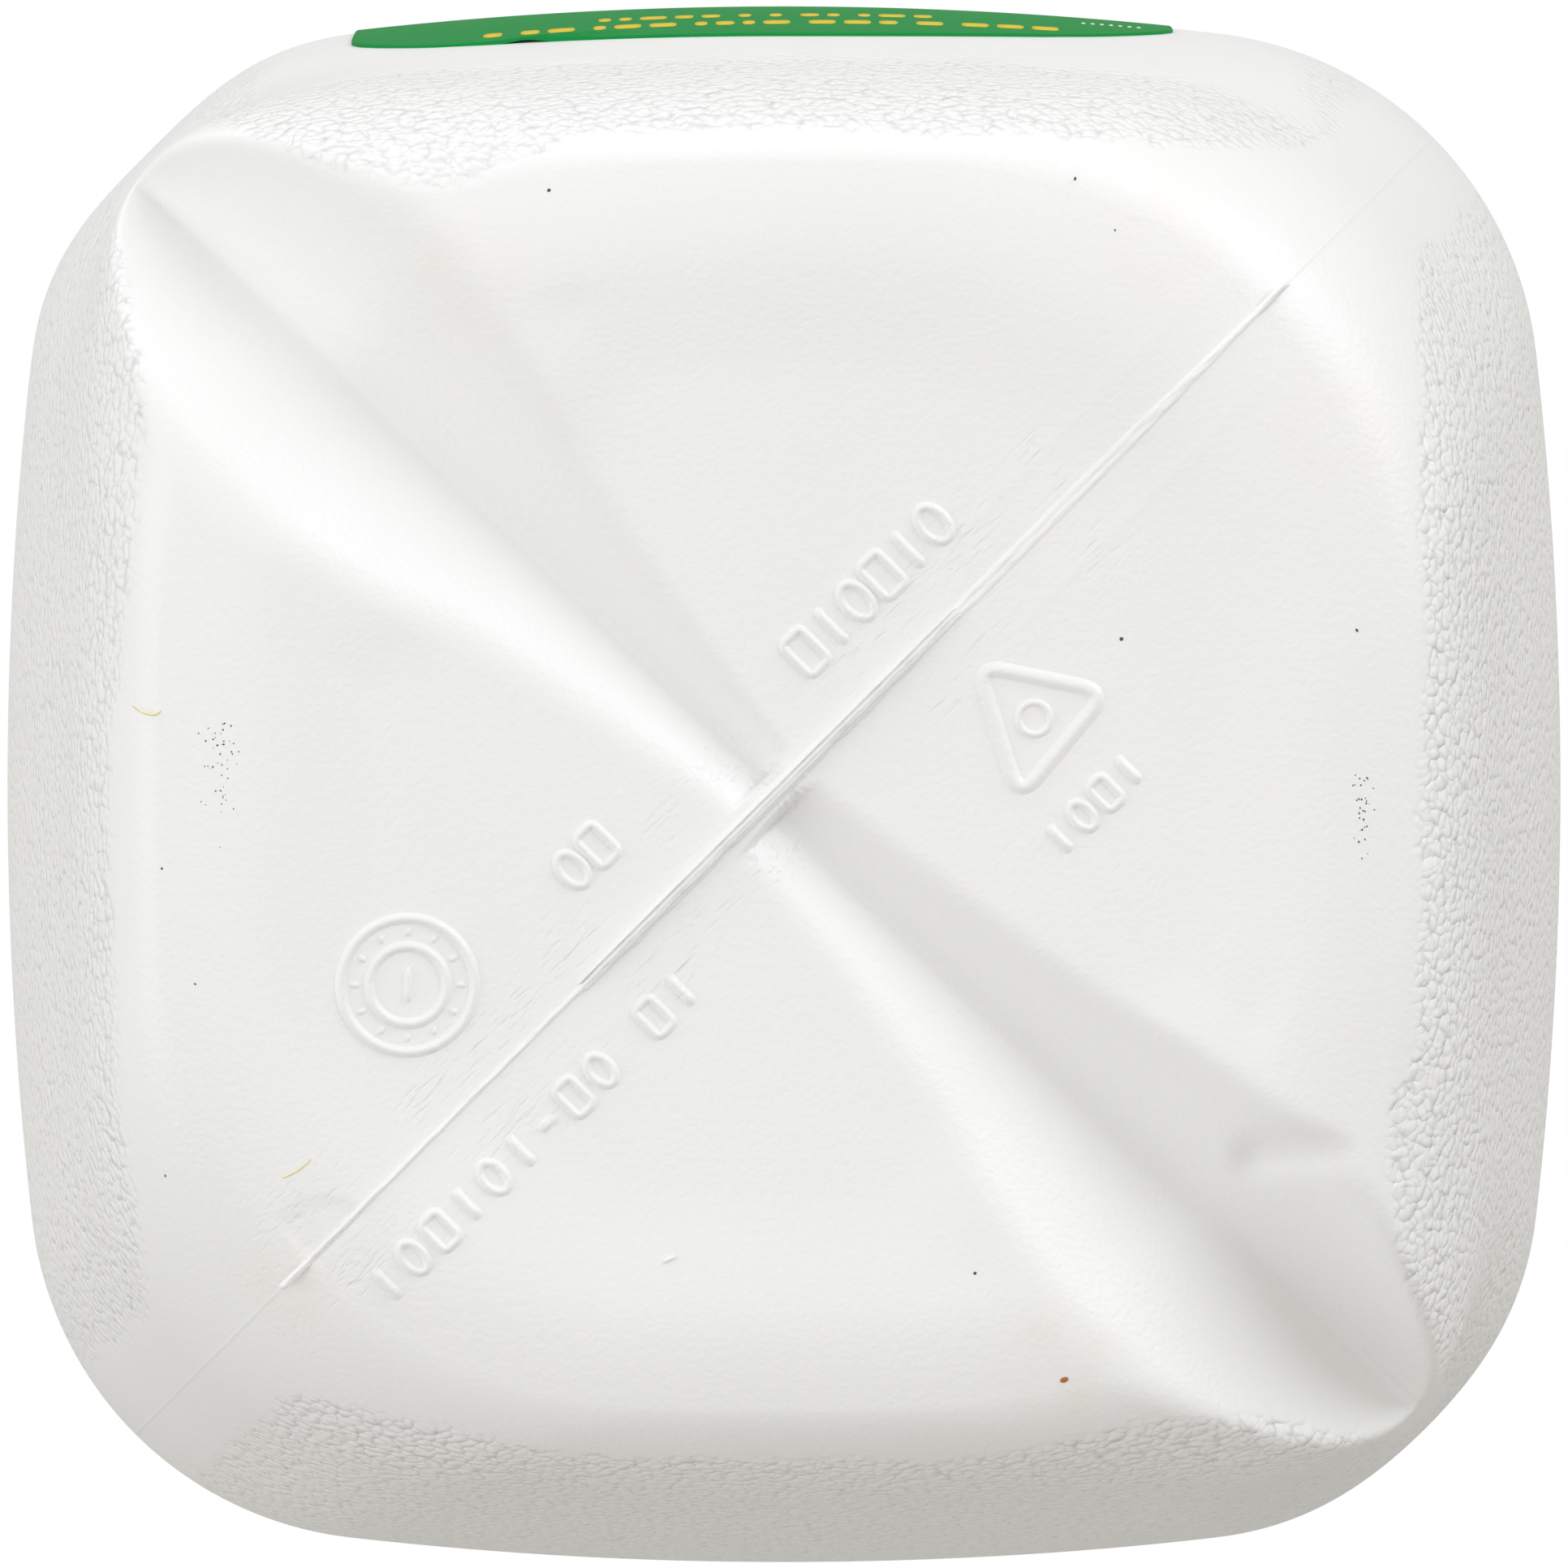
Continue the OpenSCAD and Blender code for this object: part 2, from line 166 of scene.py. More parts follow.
def makeHdpe():  # natural-white blow-moulded HDPE: a waxy satin, with the mould's leather grain on the walls
    material, tree, shader, place = newMaterial("blowMouldedHdpe")
    grain, stain, drag = [addNode(tree, "Attribute", {"attribute_name": name}).outputs["Fac"]
                          for name in ("grain", "stain", "drag")]
    cloud, scuff, wobble, peel = [
        addNode(tree, "TexNoise", {"Scale": 1 / (hdpe[size] * mm), "Detail": detail}, {"Vector": place})
        for size, detail in (("cloudSize", 1), ("scuffSize", 2), ("wobbleSize", 0), ("peelSize", 1))]
    body = addNode(tree, "Mix", {"data_type": "RGBA", 6: linearColor(hdpe["white"]),
                   7: linearColor(hdpe["greyer"])}, {"Factor": cloud.outputs["Fac"]})
    color = addNode(tree, "Mix", {"data_type": "RGBA", 7: linearColor(hdpe["stain"])},
                    {"Factor": stain, 6: body.outputs[2]})
    rough = addNode(tree, "MapRange", {"To Min": hdpe["roughLeast"], "To Max": hdpe["roughMost"]},
                    {"Value": scuff.outputs["Fac"]})
    tree.links.new(rough.outputs[0], shader.inputs["Roughness"])
    # leather grain: rounded pebbles, pulled out of line by a noise
    shifted = addNode(tree, "VectorMath", {"operation": "MULTIPLY_ADD", 1: (hdpe["wobble"] * mm,) * 3},
                      {0: wobble.outputs["Color"], 2: place})
    cells = addNode(tree, "TexVoronoi", {"feature": "F1", "Scale": 1 / (hdpe["grainSize"] * mm)},
                    {"Vector": shifted.outputs[0]}).outputs["Distance"]
    domes = addNode(tree, "Math", {"operation": "MULTIPLY"}, {0: cells, 1: cells})
    deep = addNode(tree, "Math", {"operation": "MULTIPLY", 1: -hdpe["grainHeight"] * mm},
                   {0: domes.outputs[0]})
    pebbles = addNode(tree, "Math", {"operation": "MULTIPLY"}, {0: deep.outputs[0], 1: grain})
    # the parting line, on the plane through the handle
    turned = addNode(tree, "Mapping", {"Rotation": (0, 0, -math.pi / 4)}, {"Vector": place})
    along = addNode(tree, "SeparateXYZ", {}, {0: turned.outputs[0]})
    off = addNode(tree, "Math", {"operation": "ABSOLUTE"}, {0: along.outputs[0]})
    share = addNode(tree, "Math", {"operation": "DIVIDE", 1: hdpe["lineWidth"] * mm}, {0: off.outputs[0]})
    line = addNode(tree, "Math", {"operation": "SUBTRACT", "use_clamp": True, 0: 1}, {1: share.outputs[0]})
    # short drag lines, where the mould's halves closed on the pinch
    drawn = addNode(tree, "Mapping", {"vector_type": "TEXTURE", "Rotation": (0, 0, -math.pi / 4),
                    "Scale": (hdpe["dragLong"], 1, 1)}, {"Vector": place})
    streaks = addNode(tree, "TexNoise", {"Scale": 1 / (hdpe["dragSize"] * mm), "Detail": 1},
                      {"Vector": drawn.outputs[0]})
    sharp = addNode(tree, "Math", {"operation": "SUBTRACT", "use_clamp": True, 1: hdpe["dragFrom"]},
                    {0: streaks.outputs["Fac"]})
    dragged = addNode(tree, "Math", {"operation": "MULTIPLY"}, {0: sharp.outputs[0], 1: drag})
    height = pebbles
    for relief, size in ((peel, "peelHeight"), (line, "lineHeight"), (dragged, "dragHeight")):
        height = addNode(tree, "Math", {"operation": "MULTIPLY_ADD", 1: hdpe[size] * mm},
                         {0: relief.outputs[0], 2: height.outputs[0]})
    finishSurface(tree, shader, {"IOR": hdpe["ior"]}, color, height)
    return material


tornHdpe = {"white": "fafaf8", "roughness": 0.5, "fibre": 0.3, "fibreLong": 12, "fibreHeight": 0.16}


def makeTornHdpe():  # HDPE where it was pinched and torn: whiter, with fibres drawn along the line
    material, tree, shader, place = newMaterial("tornHdpe")
    turned = addNode(tree, "Mapping", {"vector_type": "TEXTURE", "Rotation": (0, 0, -math.pi / 4),
                     "Scale": (tornHdpe["fibreLong"], 1, 1)}, {"Vector": place})
    fibres = addNode(tree, "TexNoise", {"Scale": 1 / (tornHdpe["fibre"] * mm), "Detail": 4},
                     {"Vector": turned.outputs[0]}).outputs["Fac"]
    color = addNode(tree, "Mix", {"data_type": "RGBA", 6: linearColor(tornHdpe["white"]),
                                   7: linearColor(hdpe["white"])}, {"Factor": fibres})
    height = addNode(tree, "Math", {"operation": "MULTIPLY", 1: tornHdpe["fibreHeight"] * mm}, {0: fibres})
    finishSurface(tree, shader, {"Roughness": tornHdpe["roughness"], "IOR": hdpe["ior"]}, color, height)
    return material


def makePlain(name, tones, mottle, relief, values):  # mottle is (size, detail), relief is (size, detail, height)
    material, tree, shader, place = newMaterial(name)
    mottled = addNode(tree, "TexNoise", {"Scale": 1 / (mottle[0] * mm), "Detail": mottle[1]}, {"Vector": place})
    color = addNode(tree, "Mix", {"data_type": "RGBA", 6: tones[0], 7: tones[1]}, {"Factor": mottled.outputs["Fac"]})
    height = None
    if relief:
        waves = addNode(tree, "TexNoise", {"Scale": 1 / (relief[0] * mm), "Detail": relief[1]}, {"Vector": place})
        height = addNode(tree, "Math", {"operation": "MULTIPLY", 1: relief[2] * mm}, {0: waves.outputs["Fac"]})
    finishSurface(tree, shader, values, color, height)
    return material


def makePrinted(name, code, mottle):  # flexo ink on polypropylene label film: a dull satin, slightly wavy and mottled
    ink = linearColor(code)
    return makePlain(name, (toned(ink, 1 - mottle), toned(ink, 1 + mottle)), (1.4, 3), (6, 2, 0.04),
                     {"Roughness": 0.5, "Specular IOR Level": 0.06})


def makeCapPlastic():  # injection-moulded LDPE: an opaque, soft satin green with a very fine peel
    return makePlain("mouldedLdpe", (linearColor("128a41"), linearColor("0f7f3a")), (7, 3), (0.35, 2, 0.008),
                     {"Roughness": 0.38, "IOR": 1.51})


def makeDirt(name, code):  # mineral grit and fibre from a shelf: matt, and speckled
    return makePlain(name, (linearColor(code), toned(linearColor(code), 1.8)), (0.2, 2), None, {"Roughness": 0.8})


hdpeWhite = makeHdpe()
hdpeTorn = makeTornHdpe()
labelGreen = makePrinted("printedFilmGreen", "128c40", 0.06)
labelYellow = makePrinted("printedFilmYellow", "e3c53a", 0.06)
labelCream = makePrinted("printedFilmCream", "f3efe2", 0.03)
labelBrown = makePrinted("printedFilmBrown", "4b3423", 0.08)
capPlastic = makeCapPlastic()
darkDirt = makeDirt("shelfGrit", "4a4640")
rustDirt = makeDirt("rustFleck", "9a5a2c")
lint = makeDirt("paleLint", "cfc08a")
print("materials made")


# the jug's form: a bowed square at every height, which turns into the neck's circle

jug = {
    "halfBody": 77, "halfFoot": 58, "halfHeel": 68, "halfWaist": 75,
    "sideBow": 380, "cornerR": 35, "footCornerR": 48,
    "heelHeight": 24, "heelLean": 5, "bulgeZ": 90, "shoulderZ": 163, "neckZ": 231, "neckR": 19.5,
    "joinZ": 100,  # the lower and the upper part of the shell meet here
    "columns": 480, "baseRings": 112, "heelRings": 44, "bellyRings": 22,
}


def fold(angle):  # turn from the nearest side's middle
    quarter = math.pi / 2
    return abs(angle - quarter * math.floor((angle + quarter / 2) / quarter))


def ringRadius(angle, half, corner):
    f = fold(angle)
    bow = jug["sideBow"]
    m = bow - half
    c = (-m + math.sqrt(2 * (bow - corner) ** 2 - m * m)) / 2
    turn = math.atan2(c, c + m)
    touch = math.atan2(bow * math.sin(turn), bow * math.cos(turn) - m)
    if f < touch:
        return -m * math.cos(f) + math.sqrt(bow * bow - (m * math.sin(f)) ** 2)
    d = c * (math.cos(f) + math.sin(f))
    return d + math.sqrt(d * d - 2 * c * c + corner * corner)


heelCorner = mix(jug["footCornerR"], jug["cornerR"], 0.7)


def heelStation(t):  # half width, height and corner radius
    foot, heel, lean, high = jug["halfFoot"], jug["halfHeel"], jug["heelLean"], jug["heelHeight"]
    half = bezier((foot, (foot + heel - lean) / 2, heel - lean * 0.8, heel), t)
    return half, bezier((0, 0, high * 0.2, high), t), mix(jug["footCornerR"], heelCorner, t)


def bellyStation(z):
    low = clamp01((z - jug["heelHeight"]) / (jug["bulgeZ"] - jug["heelHeight"]))
    high = clamp01((z - jug["bulgeZ"]) / (jug["shoulderZ"] - jug["bulgeZ"]))
    corner = mix(heelCorner, jug["cornerR"], low)
    if z < jug["bulgeZ"]:
        return mix(jug["halfHeel"], jug["halfBody"], math.sin(low * math.pi / 2)), z, corner
    return mix(jug["halfBody"], jug["halfWaist"], high * high), z, corner


def shoulderStation(t):
    waist, neck, low, high = jug["halfWaist"], jug["neckR"], jug["shoulderZ"], jug["neckZ"]
    half = bezier((waist, waist - 1.5, mix(neck, waist, 0.36), neck), t)
    z = bezier((low, mix(low, high, 0.45), mix(low, high, 0.78), high), t)
    return half, z, min(half, mix(jug["cornerR"], half, t ** 0.8))


stations = [heelStation(i / 40) for i in range(40)]
stations += [bellyStation(mix(jug["heelHeight"], jug["shoulderZ"], i / 80)) for i in range(80)]
stations += [shoulderStation(i / 60) for i in range(61)]
stationHeights = [station[1] for station in stations]


def cornerTrim(angle, z):  # the corners over the channels are a little flattened
    upperLeft = 2.0 * math.exp(-(math.degrees(angle + 3 * math.pi / 4) / 8) ** 2)
    lowerRight = 0.9 * math.exp(-(math.degrees(angle - math.pi / 4) / 8) ** 2)
    return (upperLeft + lowerRight) * smooth01((z - 45) / 30) * (1 - smooth01((z - 115) / 40))


def outlineAt(z):  # half width and corner radius at a height
    i = min(len(stations) - 1, max(1, bisect_left(stationHeights, z)))
    a, b = stations[i - 1], stations[i]
    t = clamp01((z - a[1]) / max(1e-6, b[1] - a[1]))
    return mix(a[0], b[0], t), mix(a[2], b[2], t)


def frontWall(x, z):  # how far the label's side lies from the axis
    half, corner = outlineAt(z)
    bow = jug["sideBow"]
    m = bow - half
    c = (-m + math.sqrt(2 * (bow - corner) ** 2 - m * m)) / 2
    if abs(x) < bow * c / math.hypot(c, c + m):
        return math.sqrt(bow * bow - x * x) - m
    return c + math.sqrt(corner * corner - (abs(x) - c) ** 2)


# the underside: four pads between a torn pinch line and two channels.
# along runs down the channels, across runs along the pinch line, towards the handle

base = {
    "pushUp": 1.5, "standing": 0.86, "rimLift": 0.6, "rimShare": 0.2, "edgeShare": 0.84, "edgeRise": 1.3,
    "channelDepth": 4.5, "channelGain": 9, "valleyRound": 1.0, "edgeRound": 1.4, "cornerRound": 2.4,
    "runOut": 7, "cornerFill": 7.5, "cornerWide": 12,
    "bridgeHalf": 0.4, "bridgeRun": 1.5,
    "dimpleAlong": 50, "dimpleNear": 17.6, "dimpleFar": -22.8, "dimpleR": 6, "dimpleDepth": 0.55,
    "creaseX": (42.5, 53.5), "creaseY": 33.9, "creaseFall": 0.09, "creaseWide": 1.9, "creaseDeep": 1.6,
    "tabEdge": -4.4, "tabEnd": -60, "tabDeep": 0.16, "witnessOff": 5, "witnessHigh": 0.04,
}


def footRadius(angle):  # the standing outline, fuller where the channels run out
    off = min(abs(angle - math.pi / 4), abs(angle + 3 * math.pi / 4))
    extra = base["cornerFill"] * math.exp(-(math.degrees(off) / base["cornerWide"]) ** 2)
    return ringRadius(angle, jug["halfFoot"], jug["footCornerR"]) + extra, extra


def padHeight(x, y, share, cut):
    along, across = (x + y) * half2, (x - y) * half2
    away = clamp01((base["edgeShare"] - share) / base["rimShare"])
    beside = clamp01(-cut / 4.5)  # the rim turns in along the channels too
    away *= mix(1, beside, smooth01((share - 0.5) / 0.25))
    dimple = sum(swelling(abs(along), across, base["dimpleAlong"], side, base["dimpleR"])
                 for side in (base["dimpleNear"], base["dimpleFar"]))
    z = base["pushUp"] * softRamp(base["standing"] ** 2 - share * share, 0.05)
    z += base["rimLift"] * smooth01(away) + base["dimpleDepth"] * dimple * smooth01(away * 3)
    z += base["edgeRise"] * max(0, (share - base["edgeShare"]) / (1 - base["edgeShare"])) ** 2
    off = min(abs(along - base["witnessOff"]), abs(along + base["witnessOff"]))
    if across > 26:  # two fine witness lines beside the parting line
        z -= base["witnessHigh"] * math.exp(-(off / 0.5) ** 2) * smooth01((across - 26) / 3)
    if base["tabEdge"] < along < 0.3 and across < base["tabEnd"] + 4.4:  # a shallow tab with a round end
        endOff = max(0, across - base["tabEnd"])
        inside = smooth01((-base["tabEdge"] - math.hypot(along, endOff)) / 0.5)
        z += base["tabDeep"] * inside
    return z


def channelHeight(x, y):
    along, across = (x + y) * half2, (x - y) * half2
    u = abs(along)
    valley = -0.6 - 0.0275 * u if along < 0 else -2.7 + 0.04 * u
    if across < valley:
        halfWide = 4.9 + 0.185 * u
    else:
        halfWide = 2.7 + 0.21 * u if along < 0 else 5.0 + 0.105 * u - 3 * smooth01((u - 60) / 20)
    depth = base["channelDepth"] + base["channelGain"] * (u / jug["halfBody"]) ** 1.6
    depth += base["runOut"] * smooth01((u - 55) / 28)
    off = math.hypot(across - valley, base["valleyRound"]) - base["valleyRound"]
    z = mix(-6, depth * (1 - off / halfWide), smooth01((u - base["bridgeHalf"]) / base["bridgeRun"]))
    if along > 0 and across > 0:  # a pinched crease below the right pad's corner
        x0, x1 = base["creaseX"]
        line = base["creaseY"] - base["creaseFall"] * (x - 48)
        ends = smooth01((x - x0 + 2) / 4) * smooth01((x1 - x + 1) / 2)
        z += base["creaseDeep"] * math.exp(-((y - line) / base["creaseWide"]) ** 2) * ends
    return z


def baseHeight(x, y, share):
    cut = channelHeight(x, y)
    k = mix(base["edgeRound"], base["cornerRound"], smooth01((share - 0.78) / 0.22))
    return softMax(padHeight(x, y, share, cut), cut, k)


def underside(x, y):  # height of the base over a point inside the standing ring
    return baseHeight(x, y, min(1, math.hypot(x, y) / footRadius(math.atan2(y, x))[0]))


# where the mould's grain begins, as half widths met along each side: (turn in degrees, half width)

grainEdge = (
    (-180, 63), (-154, 60), (-146, 60), (-141, 62.5), (-135, 68), (-129, 60), (-125, 56.8), (-120, 55.4),
    (-114, 57.5), (-106, 60.6), (-90, 61.5), (-60, 60), (-45, 60), (-30, 59.5), (0, 59.2), (22, 58.6), (29, 56.4),
    (33, 56.0), (38, 57.6), (41, 61.4), (45, 68), (48.5, 61.5), (53.8, 59), (60, 58.7), (67, 61.5), (75, 63),
    (90, 63), (108, 62.5), (120, 59.5), (128, 57), (133, 59), (140, 60), (145, 60.4), (153, 61.9), (180, 63),
)
grainTurns = [turn for turn, _ in grainEdge]


def grainAt(x, y, z):  # 1 on the grained walls, 0 on the polished parts of the mould
    along = (x + y) * half2
    wander = noise.noise(Vector((x, y, z)) * 0.12) * 1.2 + noise.noise(Vector((x, y, z)) * 0.5) * 0.8
    amount = 1
    if z < 60:
        turn = math.degrees(math.atan2(y, x))
        i = min(len(grainEdge) - 1, max(1, bisect_left(grainTurns, turn)))
        (t0, e0), (t1, e1) = grainEdge[i - 1], grainEdge[i]
        edge = mix(e0, e1, (turn - t0) / (t1 - t0))
        amount = smooth01((max(abs(x), abs(y)) - edge + wander * 0.6) / 1.4 + 0.5)
        amount = max(amount, smooth01((z - 30) / 10) * smooth01((abs(abs(x) - abs(y)) - 8) / 4))
    amount *= smooth01((abs(along) - 6.5 + wander) / 2)
    if y < 0 and abs(x) < 60 and z > 20:  # the label's panel is smooth
        inPanel = smooth01((z - 29 + wander) / 2.5) * smooth01((52 - abs(x) + wander) / 3)
        amount *= 1 - inPanel * smooth01((126 - z) / 3)
    return amount * smooth01((158 - z + 3 * wander) / 12)


stainSpots = (  # x, y, radius, strength of the faint yellow rings where the pads rubbed
    (25.5, 54, 6, 0.5), (-29, -47, 6, 0.35), (35.5, -50, 6, 0.35), (51, -33, 6, 0.3), (-46, 46.5, 4, 0.6),
)


def stainAt(x, y, z):
    if z > 12:
        return 0
    wander = 0.5 + noise.noise(Vector((x, y, 3)) * 0.35)
    ring = sum(strength * math.exp(-((math.hypot(x - cx, y - cy) - radius * 0.6) / 1.6) ** 2)
               for cx, cy, radius, strength in stainSpots)
    return clamp01(ring * wander * 0.5)


def dragAt(x, y, z):
    along, across = (x + y) * half2, (x - y) * half2
    if z > 6 or across > 40:
        return 0
    patchy = noise.noise(Vector((x, y, 5)) * 0.15) + 0.55
    return clamp01(patchy * math.exp(-((abs(along) - 4) / 3.5) ** 2))


def paintShell(piece):  # stores where the shell is grained, stained and dragged
    mesh = piece.data
    grain, stain, drag = [mesh.attributes.new(name, "FLOAT", "POINT") for name in ("grain", "stain", "drag")]
    for i, vertex in enumerate(mesh.vertices):
        x, y, z = vertex.co / mm
        grain.data[i].value = grainAt(x, y, z)
        stain.data[i].value = stainAt(x, y, z)
        drag.data[i].value = dragAt(x, y, z)


def placeLower(angle, row):
    foot, extra = footRadius(angle)
    if row <= jug["baseRings"]:
        share = row / jug["baseRings"]
        x, y = share * foot * math.cos(angle), share * foot * math.sin(angle)
        return x, y, baseHeight(x, y, share)
    row -= jug["baseRings"]
    if row <= jug["heelRings"]:
        t = row / jug["heelRings"]
        corner = heelStation(t)[2]
        rise, high = base["edgeRise"], jug["heelHeight"]
        half = bezier((jug["halfFoot"], 60.6, 64.8, jug["halfHeel"]), t)
        z = bezier((rise, rise * 1.75, high * 0.27, high), t)
    else:
        share = (row - jug["heelRings"]) / jug["bellyRings"]
        half, z, corner = bellyStation(mix(jug["heelHeight"], jug["joinZ"], share))
    r = ringRadius(angle, half, corner) - cornerTrim(angle, z) + extra * (1 - smooth01((z - 12) / 36))
    x, y = r * math.cos(angle), r * math.sin(angle)
    cut = channelHeight(x, y) if z < jug["heelHeight"] * 2 else -10
    return x, y, softMax(z, cut, base["cornerRound"])


def makeLowerShell():
    rows = jug["baseRings"] + jug["heelRings"] + jug["bellyRings"]
    bm = bmesh.new()
    closedSpin(bm, [(0, 0)] + [(1, row) for row in range(1, rows + 1)] + [(0, rows + 1)], jug["columns"])
    for vertex in bm.verts:
        row = round(vertex.co.z)
        if row > rows:
            vertex.co = (0, 0, jug["joinZ"])
        elif row == 0:
            vertex.co = (0, 0, underside(0, 0.001))
        else:
            vertex.co = placeLower(math.atan2(vertex.co.y, vertex.co.x), row)
    for edge in bm.edges:  # the rim that meets the upper shell stays crisp
        edge.smooth = min(vertex.co.z for vertex in edge.verts) < jug["joinZ"] - 0.01
    bmesh.ops.recalc_face_normals(bm, faces=bm.faces)
    piece = finishPiece("jug_lower", bm, hdpeWhite)
    paintShell(piece)
    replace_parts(piece, "jug")


makeLowerShell()
print("lower shell made")


# the upper shell: shoulder, hand pocket and grip, joined in one skin with blended roots

grip = {
    "thick": 20, "wide": 27, "inset": 3, "gap": 26, "shelfZ": 130, "slope": 2.5,
    "bendR": 27, "bendUp": 10, "bendAngle": math.radians(70),
    "pocketHalf": 14, "draft": 2, "blend": 9, "sides": 40, "step": 3,
    "columns": 240, "rows": 66, "voxel": 1.25, "smoothing": 26, "pocketSmoothing": 8,
}
handleAngle = -math.pi / 4
gripAt = ringRadius(math.pi / 4, jug["halfBody"], jug["cornerR"]) - grip["inset"] - grip["thick"] / 2
pocketAt = gripAt - grip["thick"] / 2 - grip["gap"]


def pocketFloor(across, z):  # distance of the pocket's skin from the axis, along the handle's direction
    return (pocketAt + softRamp(grip["shelfZ"] - z, 6) * grip["slope"]
            + grip["draft"] * softRamp(abs(across) - grip["pocketHalf"], 6))


def pocketRadius(angle, z):
    d = abs(angle - handleAngle)
    if d > math.radians(80) or z < 90:
        return 1000
    low, high = 0, 160
    for _ in range(16):
        r = (low + high) / 2
        if r * math.cos(d) < pocketFloor(r * math.sin(d), z):
            low = r
        else:
            high = r
    return low if high < 159 else 1000


def shellRadius(angle, z):
    half, corner = outlineAt(z)
    r = ringRadius(angle, half, corner) - cornerTrim(angle, z)
    p = pocketRadius(angle, z)
    return r if p > r + grip["blend"] else -softMax(-r, -p, grip["blend"])


def gripStations():  # centre line of the grip in the parting plane: (distance, height, lean)
    foot = grip["shelfZ"] - grip["thick"]
    bendZ = jug["shoulderZ"] + grip["bendUp"]
    arc = grip["bendR"] * grip["bendAngle"]
    run = (gripAt - grip["bendR"] * (1 - math.cos(grip["bendAngle"])) - jug["neckR"]) / math.sin(grip["bendAngle"])
    total = bendZ - foot + arc + run
    count = math.ceil(total / grip["step"])
    for i in range(count + 1):
        s = i / count * total
        turned = min(grip["bendAngle"], max(0, s - (bendZ - foot)) / grip["bendR"])
        past = max(0, s - (bendZ - foot) - arc)
        yield (gripAt - grip["bendR"] * (1 - math.cos(turned)) - past * math.sin(turned),
               min(bendZ, foot + s) + grip["bendR"] * math.sin(turned) + past * math.cos(turned), turned)


def addGrip(bm):
    size = Matrix.Diagonal((grip["thick"] / 2, grip["wide"] / 2, 1, 1))
    places = [Matrix.Rotation(handleAngle, 4, "Z") @ Matrix.Translation((out, 0, z))
              @ Matrix.Rotation(-lean, 4, "Y") @ size for out, z, lean in gripStations()]
    ring = bmesh.ops.create_circle(bm, segments=grip["sides"], radius=1, cap_ends=False)["verts"]
    edges = list({edge for vertex in ring for edge in vertex.link_edges})
    tube = set(ring)
    bmesh.ops.transform(bm, matrix=places[0], verts=ring)
    for before, after in zip(places, places[1:]):
        grown = bmesh.ops.extrude_edge_only(bm, edges=edges)["geom"]
        ring = [item for item in grown if isinstance(item, bmesh.types.BMVert)]
        edges = [item for item in grown if isinstance(item, bmesh.types.BMEdge)
                 and item.verts[0] in ring and item.verts[1] in ring]
        tube.update(ring)
        bmesh.ops.transform(bm, matrix=after @ before.inverted(), verts=ring)
    ends = [edge for edge in bm.edges if edge.is_boundary and edge.verts[0] in tube]
    bmesh.ops.holes_fill(bm, edges=ends, sides=0)


def voxelUnion(bm):  # one skin round every shell in the bmesh
    mesh = bpy.data.meshes.new("union")
    bm.to_mesh(mesh)
    bm.free()
    temp = bpy.data.objects.new("union", mesh)
    bpy.context.scene.collection.objects.link(temp)
    remesh = temp.modifiers.new("remesh", "REMESH")
    remesh.mode = "VOXEL"
    remesh.voxel_size = grip["voxel"]
    skin = temp.evaluated_get(bpy.context.evaluated_depsgraph_get()).to_mesh()
    joined = bmesh.new()
    joined.from_mesh(skin)
    bpy.data.objects.remove(temp)
    bpy.data.meshes.remove(mesh)
    return joined


def gripDistance(point, line):  # distance from the grip's skin, roughly
    out, side = (point.x - point.y) * half2, (point.x + point.y) * half2
    nearest = min(math.hypot((out - a) / grip["thick"] * grip["wide"], point.z - z) for a, z, _ in line)
    return math.hypot(nearest, side) - grip["wide"] / 2


def inPocket(angle, z):  # where the pocket is cut into the wall, or nearly so
    wall = ringRadius(angle, *outlineAt(z))
    return abs(math.degrees(angle - handleAngle)) < 50 and pocketRadius(angle, z) < grip["blend"] + 4 + wall


def smoothed(bm, verts, times):
    for _ in range(times):
        bmesh.ops.smooth_vert(bm, verts=verts, factor=0.5, use_axis_x=True, use_axis_y=True, use_axis_z=True)


